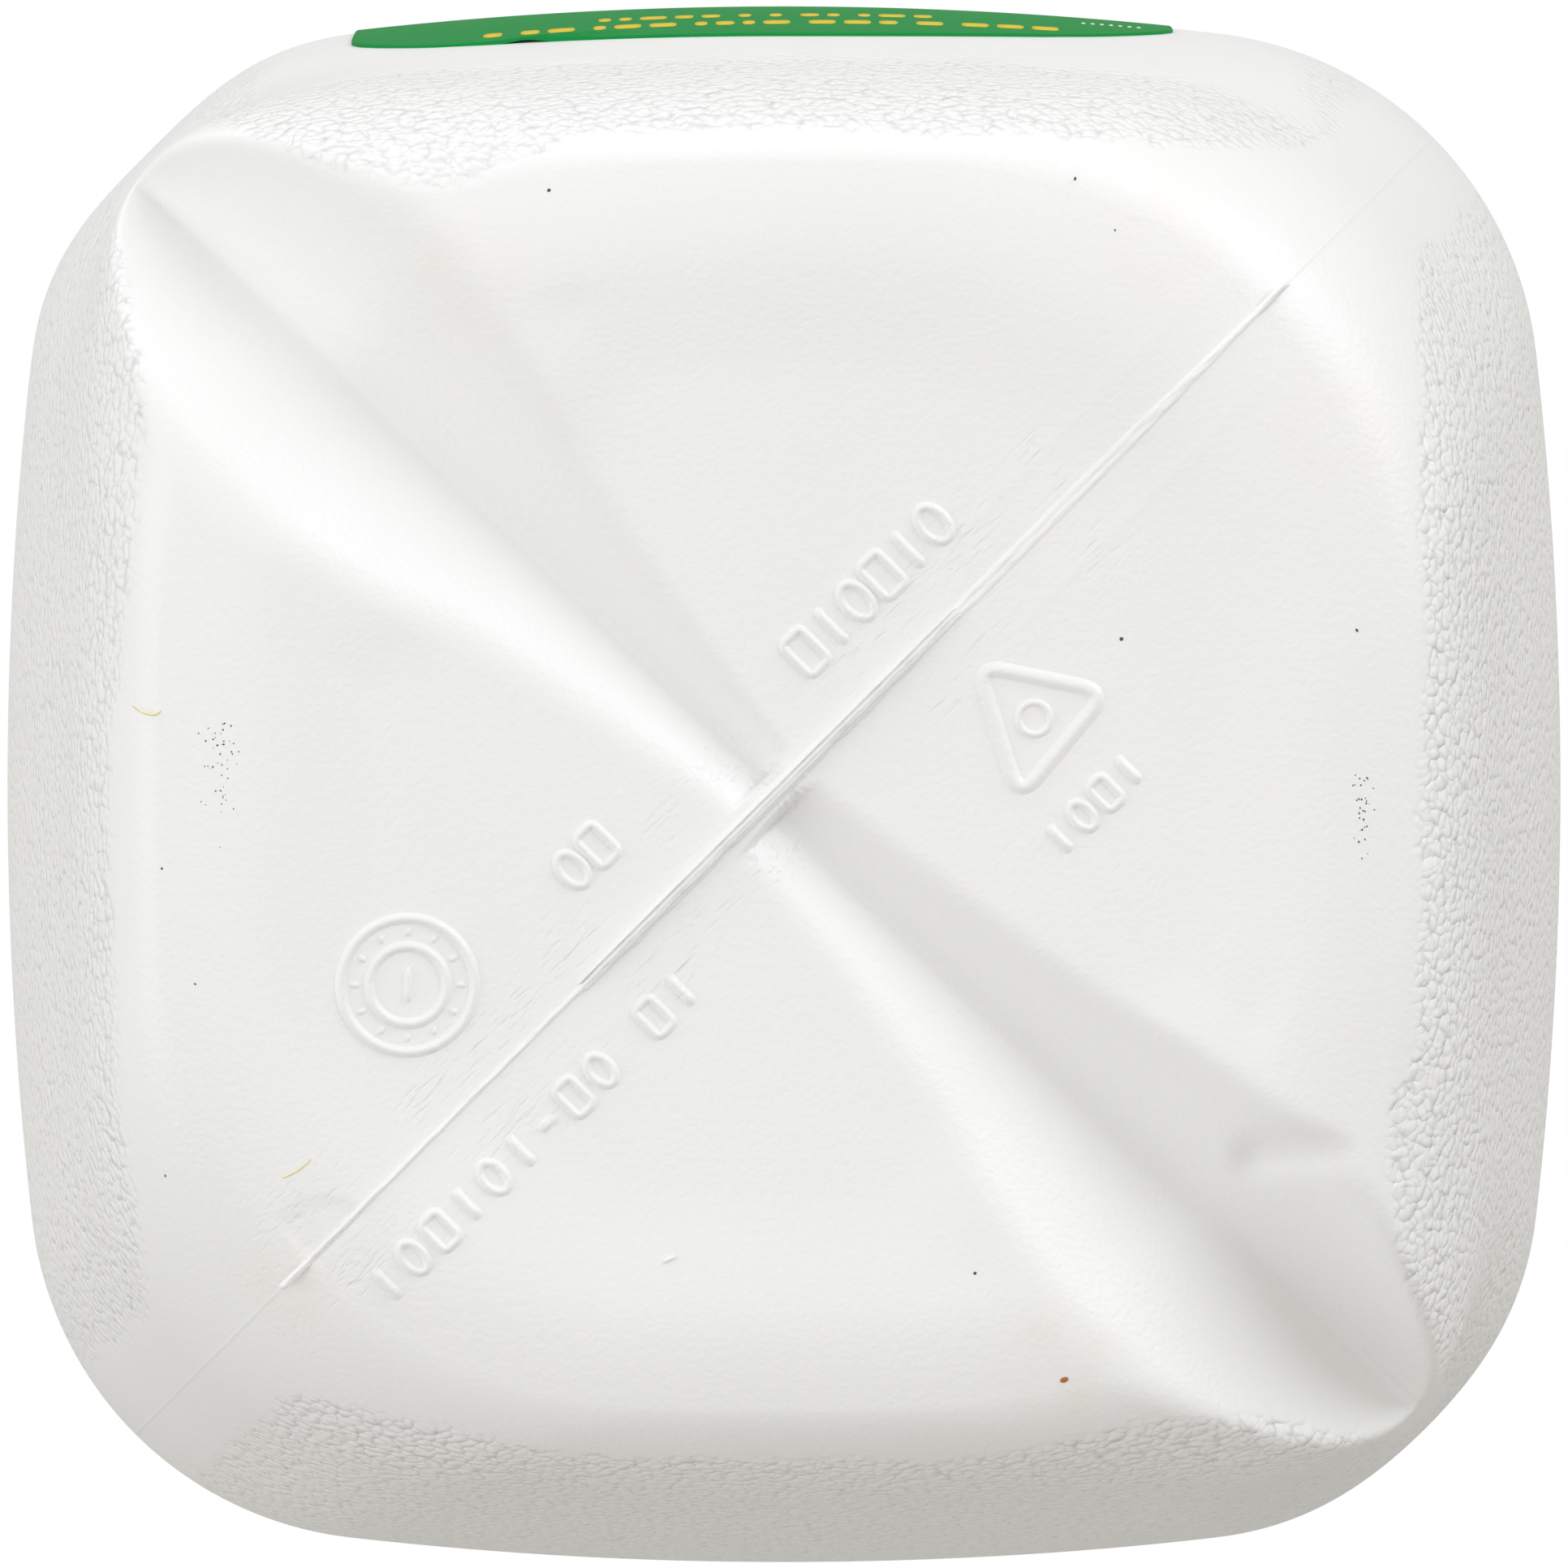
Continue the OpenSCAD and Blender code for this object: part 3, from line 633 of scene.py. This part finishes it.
def makeUpperShell():
    bottom = jug["joinZ"] - 4
    bm = bmesh.new()
    rows = grip["rows"]
    closedSpin(bm, [(0, 0)] + [(1, row) for row in range(rows + 1)] + [(0, rows)], grip["columns"])
    for vertex in bm.verts:
        z = mix(bottom, jug["neckZ"], vertex.co.z / rows)
        r = math.hypot(vertex.co.x, vertex.co.y)
        if r > 0.5:
            angle = math.atan2(vertex.co.y, vertex.co.x)
            r = shellRadius(angle, z)
            vertex.co = (r * math.cos(angle), r * math.sin(angle), z)
        else:
            vertex.co = (0, 0, z)
    addGrip(bm)
    bmesh.ops.create_cone(bm, segments=96, radius1=jug["neckR"], radius2=jug["neckR"], depth=20, cap_ends=True,
                          matrix=Matrix.Translation((0, 0, jug["neckZ"] - 6)))
    bmesh.ops.recalc_face_normals(bm, faces=bm.faces)
    bm = voxelUnion(bm)
    line = list(gripStations())
    roots, pocket, wall = [], [], []
    for vertex in bm.verts:
        point = vertex.co
        angle = math.atan2(point.y, point.x)
        fromWall = math.hypot(point.x, point.y) - shellRadius(angle, min(point.z, jug["neckZ"]))
        near = (point.x - point.y) * half2 > 20 and abs(point.x + point.y) < 60
        fromGrip = gripDistance(point, line) if near else 100
        if (abs(fromWall) < 7 and abs(fromGrip) < 7) or jug["neckZ"] - 5 < point.z < jug["neckZ"] + 4:
            roots.append(vertex)
        elif point.z < jug["neckZ"] - 5 and near and inPocket(angle, point.z):
            pocket.append(vertex)
        elif abs(fromWall) < 1.5 and point.z < jug["neckZ"] - 5:
            wall.append((vertex, fromWall, angle))
    for vertex, fromWall, angle in wall:
        vertex.co -= Vector((math.cos(angle), math.sin(angle), 0)) * fromWall
    smoothed(bm, pocket, grip["pocketSmoothing"])
    smoothed(bm, roots, grip["smoothing"])
    bmesh.ops.bisect_plane(bm, geom=bm.verts[:] + bm.edges[:] + bm.faces[:], plane_co=(0, 0, jug["joinZ"]),
                           plane_no=(0, 0, 1), clear_inner=True)
    rim = [edge for edge in bm.edges if edge.is_boundary]
    for edge in rim:
        edge.smooth = False
    bmesh.ops.holes_fill(bm, edges=rim, sides=0)
    bmesh.ops.recalc_face_normals(bm, faces=bm.faces)
    piece = finishPiece("jug_upper", bm, hdpeWhite)
    paintShell(piece)
    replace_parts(piece, "jug")


makeUpperShell()
print("upper shell made")


# the neck's finish and its bead, mostly under the cap

neck = {"finishR": 18.3, "beadR": 21.3, "beadLow": 234, "beadHigh": 236, "round": 0.5, "steps": 128}


def makeNeck():
    top, low, high, k = jugBox[1][2] / mm, neck["beadLow"], neck["beadHigh"], neck["round"]
    r, out = neck["finishR"], neck["beadR"]
    profile = [(0, low - 3), (jug["neckR"] - 0.3, low - 3), (jug["neckR"] - 0.3, low), (out - k, low)]
    profile += [(out - k + k * math.sin(a), low + k - k * math.cos(a)) for a in (0.5, 1.0, 1.57)]
    profile += [(out - k + k * math.cos(a), high - k + k * math.sin(a)) for a in (0, 0.5, 1.0, 1.57)]
    profile += [(r, high), (r, top), (r - 2, top), (0, top)]
    bm = bmesh.new()
    closedSpin(bm, profile, neck["steps"])
    piece = finishPiece("jug_neck", bm, hdpeWhite)
    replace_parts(piece, "jug")


makeNeck()


# raised lines and lettering stand-ins on the underside. A bead is a soft ridge that follows a path

def addBead(bm, path, wide, high, across=6, sink=0.06, ragged=None, closed=False):
    count = len(path) - 1
    made = bmesh.ops.create_grid(bm, x_segments=count, y_segments=across, size=1)["verts"]
    gaps = [math.dist(a, b) for a, b in zip(path, path[1:])]
    total = sum(gaps)
    reached = [sum(gaps[:i]) for i in range(count + 1)]
    for vertex in made:
        i = round((vertex.co.x + 1) / 2 * count)
        side = vertex.co.y
        a, b = path[max(0, i - 1)], path[min(count, i + 1)]
        if closed and i in (0, count):
            a, b = path[count - 1], path[1]
        step = math.hypot(b[0] - a[0], b[1] - a[1]) or 1
        nx, ny = -(b[1] - a[1]) / step, (b[0] - a[0]) / step
        fromEnd = min(reached[i], total - reached[i])
        taper = 1 if closed else math.sqrt(1 - (1 - clamp01(fromEnd / (wide / 2))) ** 2)
        halfWide, rise, dip = wide / 2, high, 0
        if ragged:
            halfWide, rise, dip = ragged(path[i], side)
        x, y = path[i][0] + nx * side * halfWide, path[i][1] + ny * side * halfWide
        ridge = math.cos(side * math.pi / 2) ** 1.2 * (1 - dip * math.exp(-(side / 0.4) ** 2)) if abs(side) < 1 else 0
        vertex.co = (x, y, underside(x, y) + sink - (rise + sink) * ridge * taper)


def faceAlong(bm, axis):  # turns an open piece's faces to look down the axis: 1 is forwards, 2 is downwards
    bm.normal_update()
    if sum(face.normal[axis] * face.calc_area() for face in bm.faces) > 0:
        bmesh.ops.reverse_faces(bm, faces=bm.faces)


def straight(a, b, pitch=0.6):
    count = max(2, round(math.dist(a, b) / pitch))
    return [(mix(a[0], b[0], i / count), mix(a[1], b[1], i / count)) for i in range(count + 1)]


def arc(cx, cy, r, start, end, pitch=0.6):
    count = max(6, round(abs(math.radians(end - start)) * r / pitch))
    return [(cx + r * math.cos(math.radians(mix(start, end, i / count))),
             cy + r * math.sin(math.radians(mix(start, end, i / count)))) for i in range(count + 1)]


def onBase(along, across):  # from the channels' and the pinch line's directions to x and y
    return (along + across) * half2, (along - across) * half2


marks = {
    "stroke": 1.2, "rise": 0.4, "pitch": 0.55,
    "rows": (  # start, height, step, shapes: | bar, o ring, n open square, - dash, . gap
        ((2.0, -12.4), 4.5, 3.36, "n|on|o"), ((25.6, 4.9), 3.4, 3.0, "|on|"),
        ((-36.8, 46.2), 3.8, 3.5, "|on|o|-no.n|"), ((-19.6, 7.8), 4.2, 3.2, "on"),
    ),
    "wheel": (-34.9, 18.5), "badge": ((17.9, -11.2), (30.0, -8.7), (21.8, 1.2)), "badgeR": 2.6, "badgeStroke": 1.7,
    "tick": ((-11.2, 44.2), (-10.0, 43.6)),
}


def roundPath(corners, r, pitch=0.5):  # a closed path through the corners, each rounded
    path = []
    for i, corner in enumerate(corners):
        here, before, after = Vector(corner), Vector(corners[i - 1]), Vector(corners[(i + 1) % len(corners)])
        a, b = here + (before - here).normalized() * r, here + (after - here).normalized() * r
        steps = max(3, round(r * 1.6 / pitch))
        path += [tuple((1 - t / steps) ** 2 * a + 2 * t / steps * (1 - t / steps) * here + (t / steps) ** 2 * b)
                 for t in range(steps + 1)]
        end = after + (here - after).normalized() * r
        count = max(1, round((end - b).length / pitch))
        path += [tuple(b.lerp(end, t / count)) for t in range(1, count)]
    return path + path[:1]


def addShape(bm, kind, x, y, tall, ux, uy):  # u runs along the row, and the shape stands across it
    def at(u, v):
        return x + u * ux - v * uy, y + u * uy + v * ux
    half, wide = tall / 2, tall * 0.27
    stroke, rise = marks["stroke"], marks["rise"]
    if kind == "|":
        addBead(bm, straight(at(0, -half), at(0, half), marks["pitch"]), stroke, rise)
    elif kind == "o":
        ring = [at(wide * math.cos(t / 20 * math.tau), half * 0.85 * math.sin(t / 20 * math.tau)) for t in range(21)]
        addBead(bm, ring, stroke * 0.9, rise, closed=True)
    elif kind == "n":
        corners = [at(-wide, -half * 0.9), at(wide, -half * 0.9), at(wide, half * 0.9), at(-wide, half * 0.9)]
        addBead(bm, roundPath(corners, 0.6, 0.4), stroke * 0.9, rise, closed=True)
    elif kind == "-":
        addBead(bm, straight(at(-wide, 0), at(wide, 0), marks["pitch"]), stroke, rise)


def makeMarks():
    bm = bmesh.new()
    for (x, y), tall, step, shapes in marks["rows"]:
        for i, kind in enumerate(shapes):
            addShape(bm, kind, x + step * i * half2, y - step * i * half2, tall, half2, -half2)
    cx, cy = marks["wheel"]
    for r in (6.2, 3.6):  # a dating wheel: two rings, twelve ticks and an arrow
        addBead(bm, arc(cx, cy, r, 0, 360), marks["stroke"], marks["rise"], closed=True)
    for i in range(12):
        turn = math.radians(30 * i)
        ends = [(cx + r * math.cos(turn), cy + r * math.sin(turn)) for r in (4.4, 5.4)]
        addBead(bm, straight(*ends, 0.3), 0.7, 0.25, across=4)
    addBead(bm, straight((cx, cy + 1.8), (cx, cy - 1.8)), 0.9, 0.35)
    corners = marks["badge"]  # a plain badge: a rounded triangle with a ring in it
    addBead(bm, roundPath(corners, marks["badgeR"]), marks["badgeStroke"], marks["rise"], closed=True)
    middle = [sum(corner[i] for corner in corners) / 3 for i in (0, 1)]
    addBead(bm, arc(middle[0], middle[1], 1.5, 0, 360, 0.4), 0.9, 0.3, closed=True)
    addBead(bm, straight(*marks["tick"], 0.3), 0.5, 0.35, across=4)
    bmesh.ops.remove_doubles(bm, verts=bm.verts, dist=1e-4)
    faceAlong(bm, 2)
    piece = finishPiece("mould_marks", bm, hdpeWhite)
    paintShell(piece)
    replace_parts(piece, "jug")


makeMarks()
print("mould marks made")


# the pinch line: thin at both ends, thick and torn in the middle

pinch = {
    "thickFrom": -28.5, "thickTo": 25, "end": 66, "thinWide": 0.75, "thinHigh": 0.35, "stripWide": 1.7,
    "thickWide": 1.8, "thickHigh": 1.1, "pitch": 0.2, "fibres": (-0.42, 0.05, 0.4),
    "nicks": (24.8, 19.2, 13.7, 6.2, -8.1, -17.4, -21.9, -24.8), "nickDeep": 0.75, "nickLong": 1.1,
}


def pinchSection(across, side):  # half width and height of the ridge
    thick = smooth01((across - pinch["thickFrom"]) / 9) * smooth01((pinch["thickTo"] - across) / 12)
    strip = smooth01((across - pinch["thickTo"] + 6) / 6) * smooth01((pinch["end"] - across) / 25)
    wavy = noise.noise(Vector((across * 0.5, 7, side * 1.5)))
    fine = noise.noise(Vector((across * 2.3, 1, side * 3)))
    thin = mix(pinch["thinWide"], pinch["stripWide"], strip)
    wide = mix(thin, pinch["thickWide"] * (1 + 0.08 * wavy), thick) / 2
    high = mix(pinch["thinHigh"] * (1 + 0.3 * wavy), pinch["thickHigh"] * (1 + 0.1 * wavy), thick)
    if side > 0:
        nick = max(math.exp(-((across - place) / pinch["nickLong"]) ** 2) for place in pinch["nicks"])
        wide *= 1 + thick * (0.12 * fine - pinch["nickDeep"] * nick * 0.3)
    return wide, high, strip * 0.55


def makePinchLine():
    bm = bmesh.new()
    path = straight(onBase(0, -pinch["end"]), onBase(0, pinch["end"]), pinch["pitch"])
    addBead(bm, path, pinch["thinWide"], pinch["thinHigh"], across=12,
            ragged=lambda point, side: pinchSection((point[0] - point[1]) * half2, side))
    for off in pinch["fibres"]:  # the drawn fibres lie along the ridge
        path = straight(onBase(off, pinch["thickFrom"] + 2), onBase(off, pinch["thickTo"] - 2), pinch["pitch"])
        addBead(bm, path, 0.3, pinch["thickHigh"], across=4,
                ragged=lambda point, side: (0.16, pinchSection((point[0] - point[1]) * half2, side)[1] + 0.05, 0))
    faceAlong(bm, 2)
    piece = finishPiece("pinch_line", bm, hdpeTorn)
    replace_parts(piece, "jug")


makePinchLine()


# the label: a printed film with round corners, wrapped on the front wall

label = {
    "left": labelBox[0][0] / mm, "right": labelBox[1][0] / mm,
    "low": labelBox[0][2] / mm, "high": labelBox[1][2] / mm,
    "corner": 13, "lift": 0.26, "ink": 0.03, "lowShift": 7, "rightRise": 10, "tilt": 0.08,
    "creaseFrom": (-27, 43.6), "creaseTo": (-14.4, 47), "creaseHigh": 0.4,
    "band": (82, 83.6), "panel": (87, 107), "stripes": (91, 96, 101), "stripeTall": 2.2,
    "dashRows": ((50.5, 27), (57.5, 16)), "dashTall": 3.0, "dots": 7, "dotStep": 0.9, "dotRow": (60, 61.4),
}


def creaseAt(x, z):  # a small fold in the film near its lower edge
    (ax, az), (bx, bz) = label["creaseFrom"], label["creaseTo"]
    t = clamp01(((x - ax) * (bx - ax) + (z - az) * (bz - az)) / ((bx - ax) ** 2 + (bz - az) ** 2))
    off = math.hypot(x - mix(ax, bx, t), z - mix(az, bz, t))
    return label["creaseHigh"] * math.exp(-(off / 0.7) ** 2) * math.sin(math.pi * mix(0.2, 0.95, t))


def wrapOnFront(verts, lift):  # from flat (x, z) to the wall
    for vertex in verts:
        x, z = vertex.co.x, vertex.co.z
        vertex.co.y = -frontWall(x, z) - lift - creaseAt(x, z)


# a patch with round corners and turned-in edges
def addPatch(bm, left, right, low, high, corner, lift, pitch=1.0, lowEdge=None):
    wide, tall = right - left, high - low
    made = bmesh.ops.create_grid(bm, x_segments=max(2, round(wide / pitch)), y_segments=max(2, round(tall / pitch)),
                                 size=0.5)["verts"]
    for vertex in made:
        up = (vertex.co.y + 0.5) * tall
        fromEdge = min(up, tall - up)
        halfWide = wide / 2
        if fromEdge < corner:
            halfWide += math.sqrt(corner ** 2 - (corner - fromEdge) ** 2) - corner
        x, z = (left + right) / 2 + vertex.co.x * 2 * halfWide, low + up
        if lowEdge:
            z = mix(lowEdge(x), high, up / tall)
        elif z < 66:
            z += label["tilt"] * x
        vertex.co = (x, 0, z)
    wrapOnFront(made, lift)
    made = set(made)
    rim = [edge for edge in bm.edges if edge.is_boundary and edge.verts[0] in made and edge.verts[1] in made]
    grown = bmesh.ops.extrude_edge_only(bm, edges=rim)["geom"]
    bmesh.ops.translate(bm, vec=(0, lift + 0.05, 0),
                        verts=[item for item in grown if isinstance(item, bmesh.types.BMVert)])


def makeLabel():
    left, right, low, high = label["left"], label["right"], label["low"], label["high"]
    middle = (left + right) / 2
    bm = bmesh.new()
    addPatch(bm, left, right, low, high, label["corner"], label["lift"], 0.8,
             lambda x: low + label["lowShift"] + (label["rightRise"] if x > 0 else 2) * (x / 33) ** 2)
    faceAlong(bm, 1)
    film = finishPiece("label_film", bm, labelGreen)
    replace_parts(film, "label")
    ink = label["lift"] + label["ink"]
    fields = (
        ("label_band", labelBrown, [(left + 0.6, right - 0.6, *label["band"], 0.4)]),
        ("label_panel", labelCream, [(left + 6, right - 6, *label["panel"], 6)]),
        ("label_stripes", labelYellow, [(left + 16, right - 16, z, z + label["stripeTall"], 1)
                                        for z in label["stripes"]]),
    )
    for name, material, patches in fields:
        bm = bmesh.new()
        for x0, x1, z0, z1, corner in patches:
            addPatch(bm, x0, x1, z0, z1, corner, ink + (0.03 if name == "label_stripes" else 0), 1.0)
        faceAlong(bm, 1)
        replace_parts(finishPiece(name, bm, material), "label")
    random.seed(11)
    bm = bmesh.new()
    for z, reach in label["dashRows"]:
        x = middle - reach
        while x < middle + reach:
            wide = random.choice((1.2, 1.8, 2.6))
            addPatch(bm, x, x + wide, z, z + label["dashTall"], 0.3, ink, 0.8)
            x += wide + random.choice((0.8, 0.8, 1.8))
    faceAlong(bm, 1)
    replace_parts(finishPiece("label_dashes", bm, labelYellow), "label")
    bm = bmesh.new()
    for i in range(label["dots"]):
        x = right - 9 + i * label["dotStep"]
        addPatch(bm, x, x + 0.4, *label["dotRow"], 0.1, ink, 0.4)
    faceAlong(bm, 1)
    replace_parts(finishPiece("label_dots", bm, labelCream), "label")


makeLabel()
print("label made")


# the cap: a ribbed skirt with a tamper band hanging from it on small bridges

cap = {
    "rib": 0.5, "ribCount": 60, "wall": 1.5, "topThick": 1.6, "round": 1.2,
    "bandLow": 236.4, "bandHigh": 240.4, "slit": 0.5, "bridges": 12, "bridgeWide": 1.2, "steps": 120,
}


def makeCap():
    top = capBox[1][2] / mm
    outer = capBox[1][0] / mm - cap["rib"]
    bore = outer - cap["wall"]
    low = cap["bandHigh"] + cap["slit"]
    k = cap["round"]
    bm = bmesh.new()
    profile = [(0, top - 0.35), (outer * 0.72, top - 0.35), (outer * 0.74, top - 0.1), (outer * 0.76, top)]
    profile += [(outer - k, top)]
    profile += [(outer - k + k * math.sin(a), top - k + k * math.cos(a)) for a in (0.4, 0.8, 1.2, 1.57)]
    profile += [(outer, low + 0.2), (outer - 0.2, low), (bore, low), (bore, top - cap["topThick"]),
                (0, top - cap["topThick"])]
    closedSpin(bm, profile, cap["steps"])
    band = [(outer - 0.15, cap["bandLow"]), (outer, cap["bandLow"] + 0.15), (outer, cap["bandHigh"] - 0.15),
            (outer - 0.15, cap["bandHigh"]), (bore, cap["bandHigh"]), (bore, cap["bandLow"]),
            (outer - 0.15, cap["bandLow"])]
    closedSpin(bm, band, cap["steps"])
    for i in range(cap["ribCount"]):
        turn = Matrix.Rotation(2 * math.pi * i / cap["ribCount"], 4, "Z")
        middle = Matrix.Translation((outer, 0, (low + top - k) / 2))
        size = Matrix.Diagonal((2 * cap["rib"], 1.05, top - k - low - 0.6, 1))
        made = bmesh.ops.create_cube(bm, size=1, matrix=turn @ middle @ size)["verts"]
        edges = {edge for vertex in made for edge in vertex.link_edges}
        bmesh.ops.bevel(bm, geom=list(edges), offset=0.25, offset_type="OFFSET", affect="EDGES", segments=2,
                        profile=0.5, material=-1)
    for i in range(cap["bridges"]):
        turn = Matrix.Rotation(2 * math.pi * (i + 0.5) / cap["bridges"], 4, "Z")
        middle = Matrix.Translation((outer - 0.75, 0, cap["bandHigh"] + cap["slit"] / 2))
        bmesh.ops.create_cube(bm, size=1, matrix=turn @ middle
                              @ Matrix.Diagonal((1.0, cap["bridgeWide"], cap["slit"] + 0.4, 1)))
    bmesh.ops.recalc_face_normals(bm, faces=bm.faces)
    piece = finishPiece("cap_shell", bm, capPlastic)
    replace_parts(piece, "cap")
    piece.modifiers.new("edges", "EDGE_SPLIT").split_angle = math.radians(40)


makeCap()
print("cap made")


# grit and lint on the base

dirt = {
    "specks": ((-57.4, 36.2), (30.7, -51.5), (-21.8, -55.2), (-57.7, 7.7), (-54.6, 18.4), (31.3, -13.6),
               (53.1, -14.4), (17.7, 45.2), (27.0, -56.3)),
    "rubbed": ((-52.3, -2.1, 1.4, 4.5, 46), (53.6, 2.6, 1.0, 4.2, 34)),  # x, y, half width, half length, grains
    "rust": (26.0, 55.1),
    "hairs": (((-60.4, -7.4), (-59.3, -6.4), (-58.2, -6.3), (-57.8, -7.0)),
              ((-46.5, 36.4), (-45.4, 36.0), (-44.2, 35.2), (-43.9, 34.6))),
}


def addSpeck(bm, x, y, size, stretch=1.0):
    turn = Matrix.Rotation(random.uniform(0, math.pi), 4, "Z")
    shape = Matrix.Diagonal((size, size * stretch, size * 0.35, 1))
    bmesh.ops.create_icosphere(bm, subdivisions=2, radius=1,
                               matrix=Matrix.Translation((x, y, underside(x, y))) @ turn @ shape)


def makeDirtPieces():
    random.seed(4)
    bm = bmesh.new()
    for x, y in dirt["specks"]:
        addSpeck(bm, x, y, random.uniform(0.12, 0.2), random.uniform(0.6, 1))
    for cx, cy, halfWide, halfLong, count in dirt["rubbed"]:
        for _ in range(count):
            addSpeck(bm, random.gauss(cx, halfWide * 0.5), random.gauss(cy, halfLong * 0.5),
                     random.uniform(0.05, 0.11), random.uniform(0.6, 1))
    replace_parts(finishPiece("grit", bm, darkDirt), "jug")
    bm = bmesh.new()
    addSpeck(bm, dirt["rust"][0], dirt["rust"][1], 0.42, 0.65)
    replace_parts(finishPiece("rust_fleck", bm, rustDirt), "jug")
    bm = bmesh.new()
    for hair in dirt["hairs"]:
        curve = [tuple(bezier([p[i] for p in hair], t / 24) for i in (0, 1)) for t in range(25)]
        addBead(bm, curve, 0.16, 0.12, across=4, sink=0.02)
    faceAlong(bm, 2)
    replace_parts(finishPiece("lint", bm, lint), "jug")


makeDirtPieces()
print("dirt made")


# the floor: it shows from above only, and casts no shadow and throws back no light

def makeFloor():
    material, tree, shader, place = newMaterial("paleFloor")
    shader.inputs["Base Color"].default_value = linearColor("f2f2f0")
    shader.inputs["Roughness"].default_value = 0.7
    geometry = addNode(tree, "NewGeometry")
    clear = addNode(tree, "BsdfTransparent")
    side = addNode(tree, "MixShader", {}, {0: geometry.outputs["Backfacing"], 1: shader.outputs[0],
                                                      2: clear.outputs[0]})
    output = next(node for node in tree.nodes if node.type == "OUTPUT_MATERIAL")
    tree.links.new(side.outputs[0], output.inputs["Surface"])
    bm = bmesh.new()
    bmesh.ops.create_grid(bm, x_segments=1, y_segments=1, size=6)
    floor = linkMesh("floor", bm, material)
    floor.location.z = -0.0002
    for ray in ("shadow", "diffuse", "glossy", "transmission"):
        setattr(floor, "visible_" + ray, False)


makeFloor()

# studio light: a pale room, and soft boxes round the camera

studio = {
    "room": 0.54, "roomColor": "fffdf6", "lightColor": "f6f7ff", "distance": 1.3, "aimZ": 0.04,
    "boxes": (  # name, degrees off the camera's line, degrees round it from the right, size, watts
        ("frontLight", 15, 180, 1.0, 2.9), ("upperRightLight", 65, 45, 1.0, 7.7), ("leftLight", 65, 180, 1.0, 4.3),
        ("topLight", 90, 90, 1.0, 2.2), ("topLeftLight", 90, 135, 1.0, 3.3), ("overheadLight", 180, 0, 0.3, 6.0),
    ),
}


def makeStudio():
    world = bpy.data.worlds.new("studio")
    bpy.context.scene.world = world
    world.use_nodes = True
    tree = world.node_tree
    tree.nodes.clear()
    room = addNode(tree, "Background",
                   {"Color": linearColor(studio["roomColor"]), "Strength": studio["room"]})
    backdrop = addNode(tree, "Background", {"Color": (1, 1, 1, 1), "Strength": 1.0})
    seen = addNode(tree, "LightPath").outputs["Is Camera Ray"]
    both = addNode(tree, "MixShader", {}, {0: seen, 1: room.outputs[0], 2: backdrop.outputs[0]})
    addNode(tree, "OutputWorld", {}, {"Surface": both.outputs[0]})
    target = Vector((0, 0, studio["aimZ"]))
    for name, off, turn, size, watts in studio["boxes"]:
        off, turn = math.radians(off), math.radians(turn)
        away = Vector((math.sin(off) * math.cos(turn), -math.sin(off) * math.sin(turn), -math.cos(off)))
        light = bpy.data.lights.new(name, "AREA")
        light.shape = "DISK"
        light.size = size
        light.energy = watts
        light.color = linearColor(studio["lightColor"])[:3]
        box = bpy.data.objects.new(name, light)
        box.location = target + away * studio["distance"]
        box.rotation_euler = (-away).to_track_quat("-Z", "Y").to_euler()
        box.visible_camera = False
        bpy.context.scene.collection.objects.link(box)
    bpy.context.scene.view_settings.view_transform = "Standard"


makeStudio()


# the camera looks straight up at the base from below

def makeCamera():
    distance = 1.2
    data = bpy.data.cameras.new("camera")
    data.sensor_width = 36
    seenHalf = 0.0781  # half of the view's width, where the jug is widest
    data.lens = 18 / (seenHalf / (distance + jug["bulgeZ"] * mm))
    data.clip_start = 0.01
    camera = bpy.data.objects.new("camera", data)
    camera.location = (0, -0.00015, -distance)
    camera.rotation_euler = (math.pi, 0, 0)
    bpy.context.scene.collection.objects.link(camera)
    bpy.context.scene.camera = camera


makeCamera()

print("scene finished")
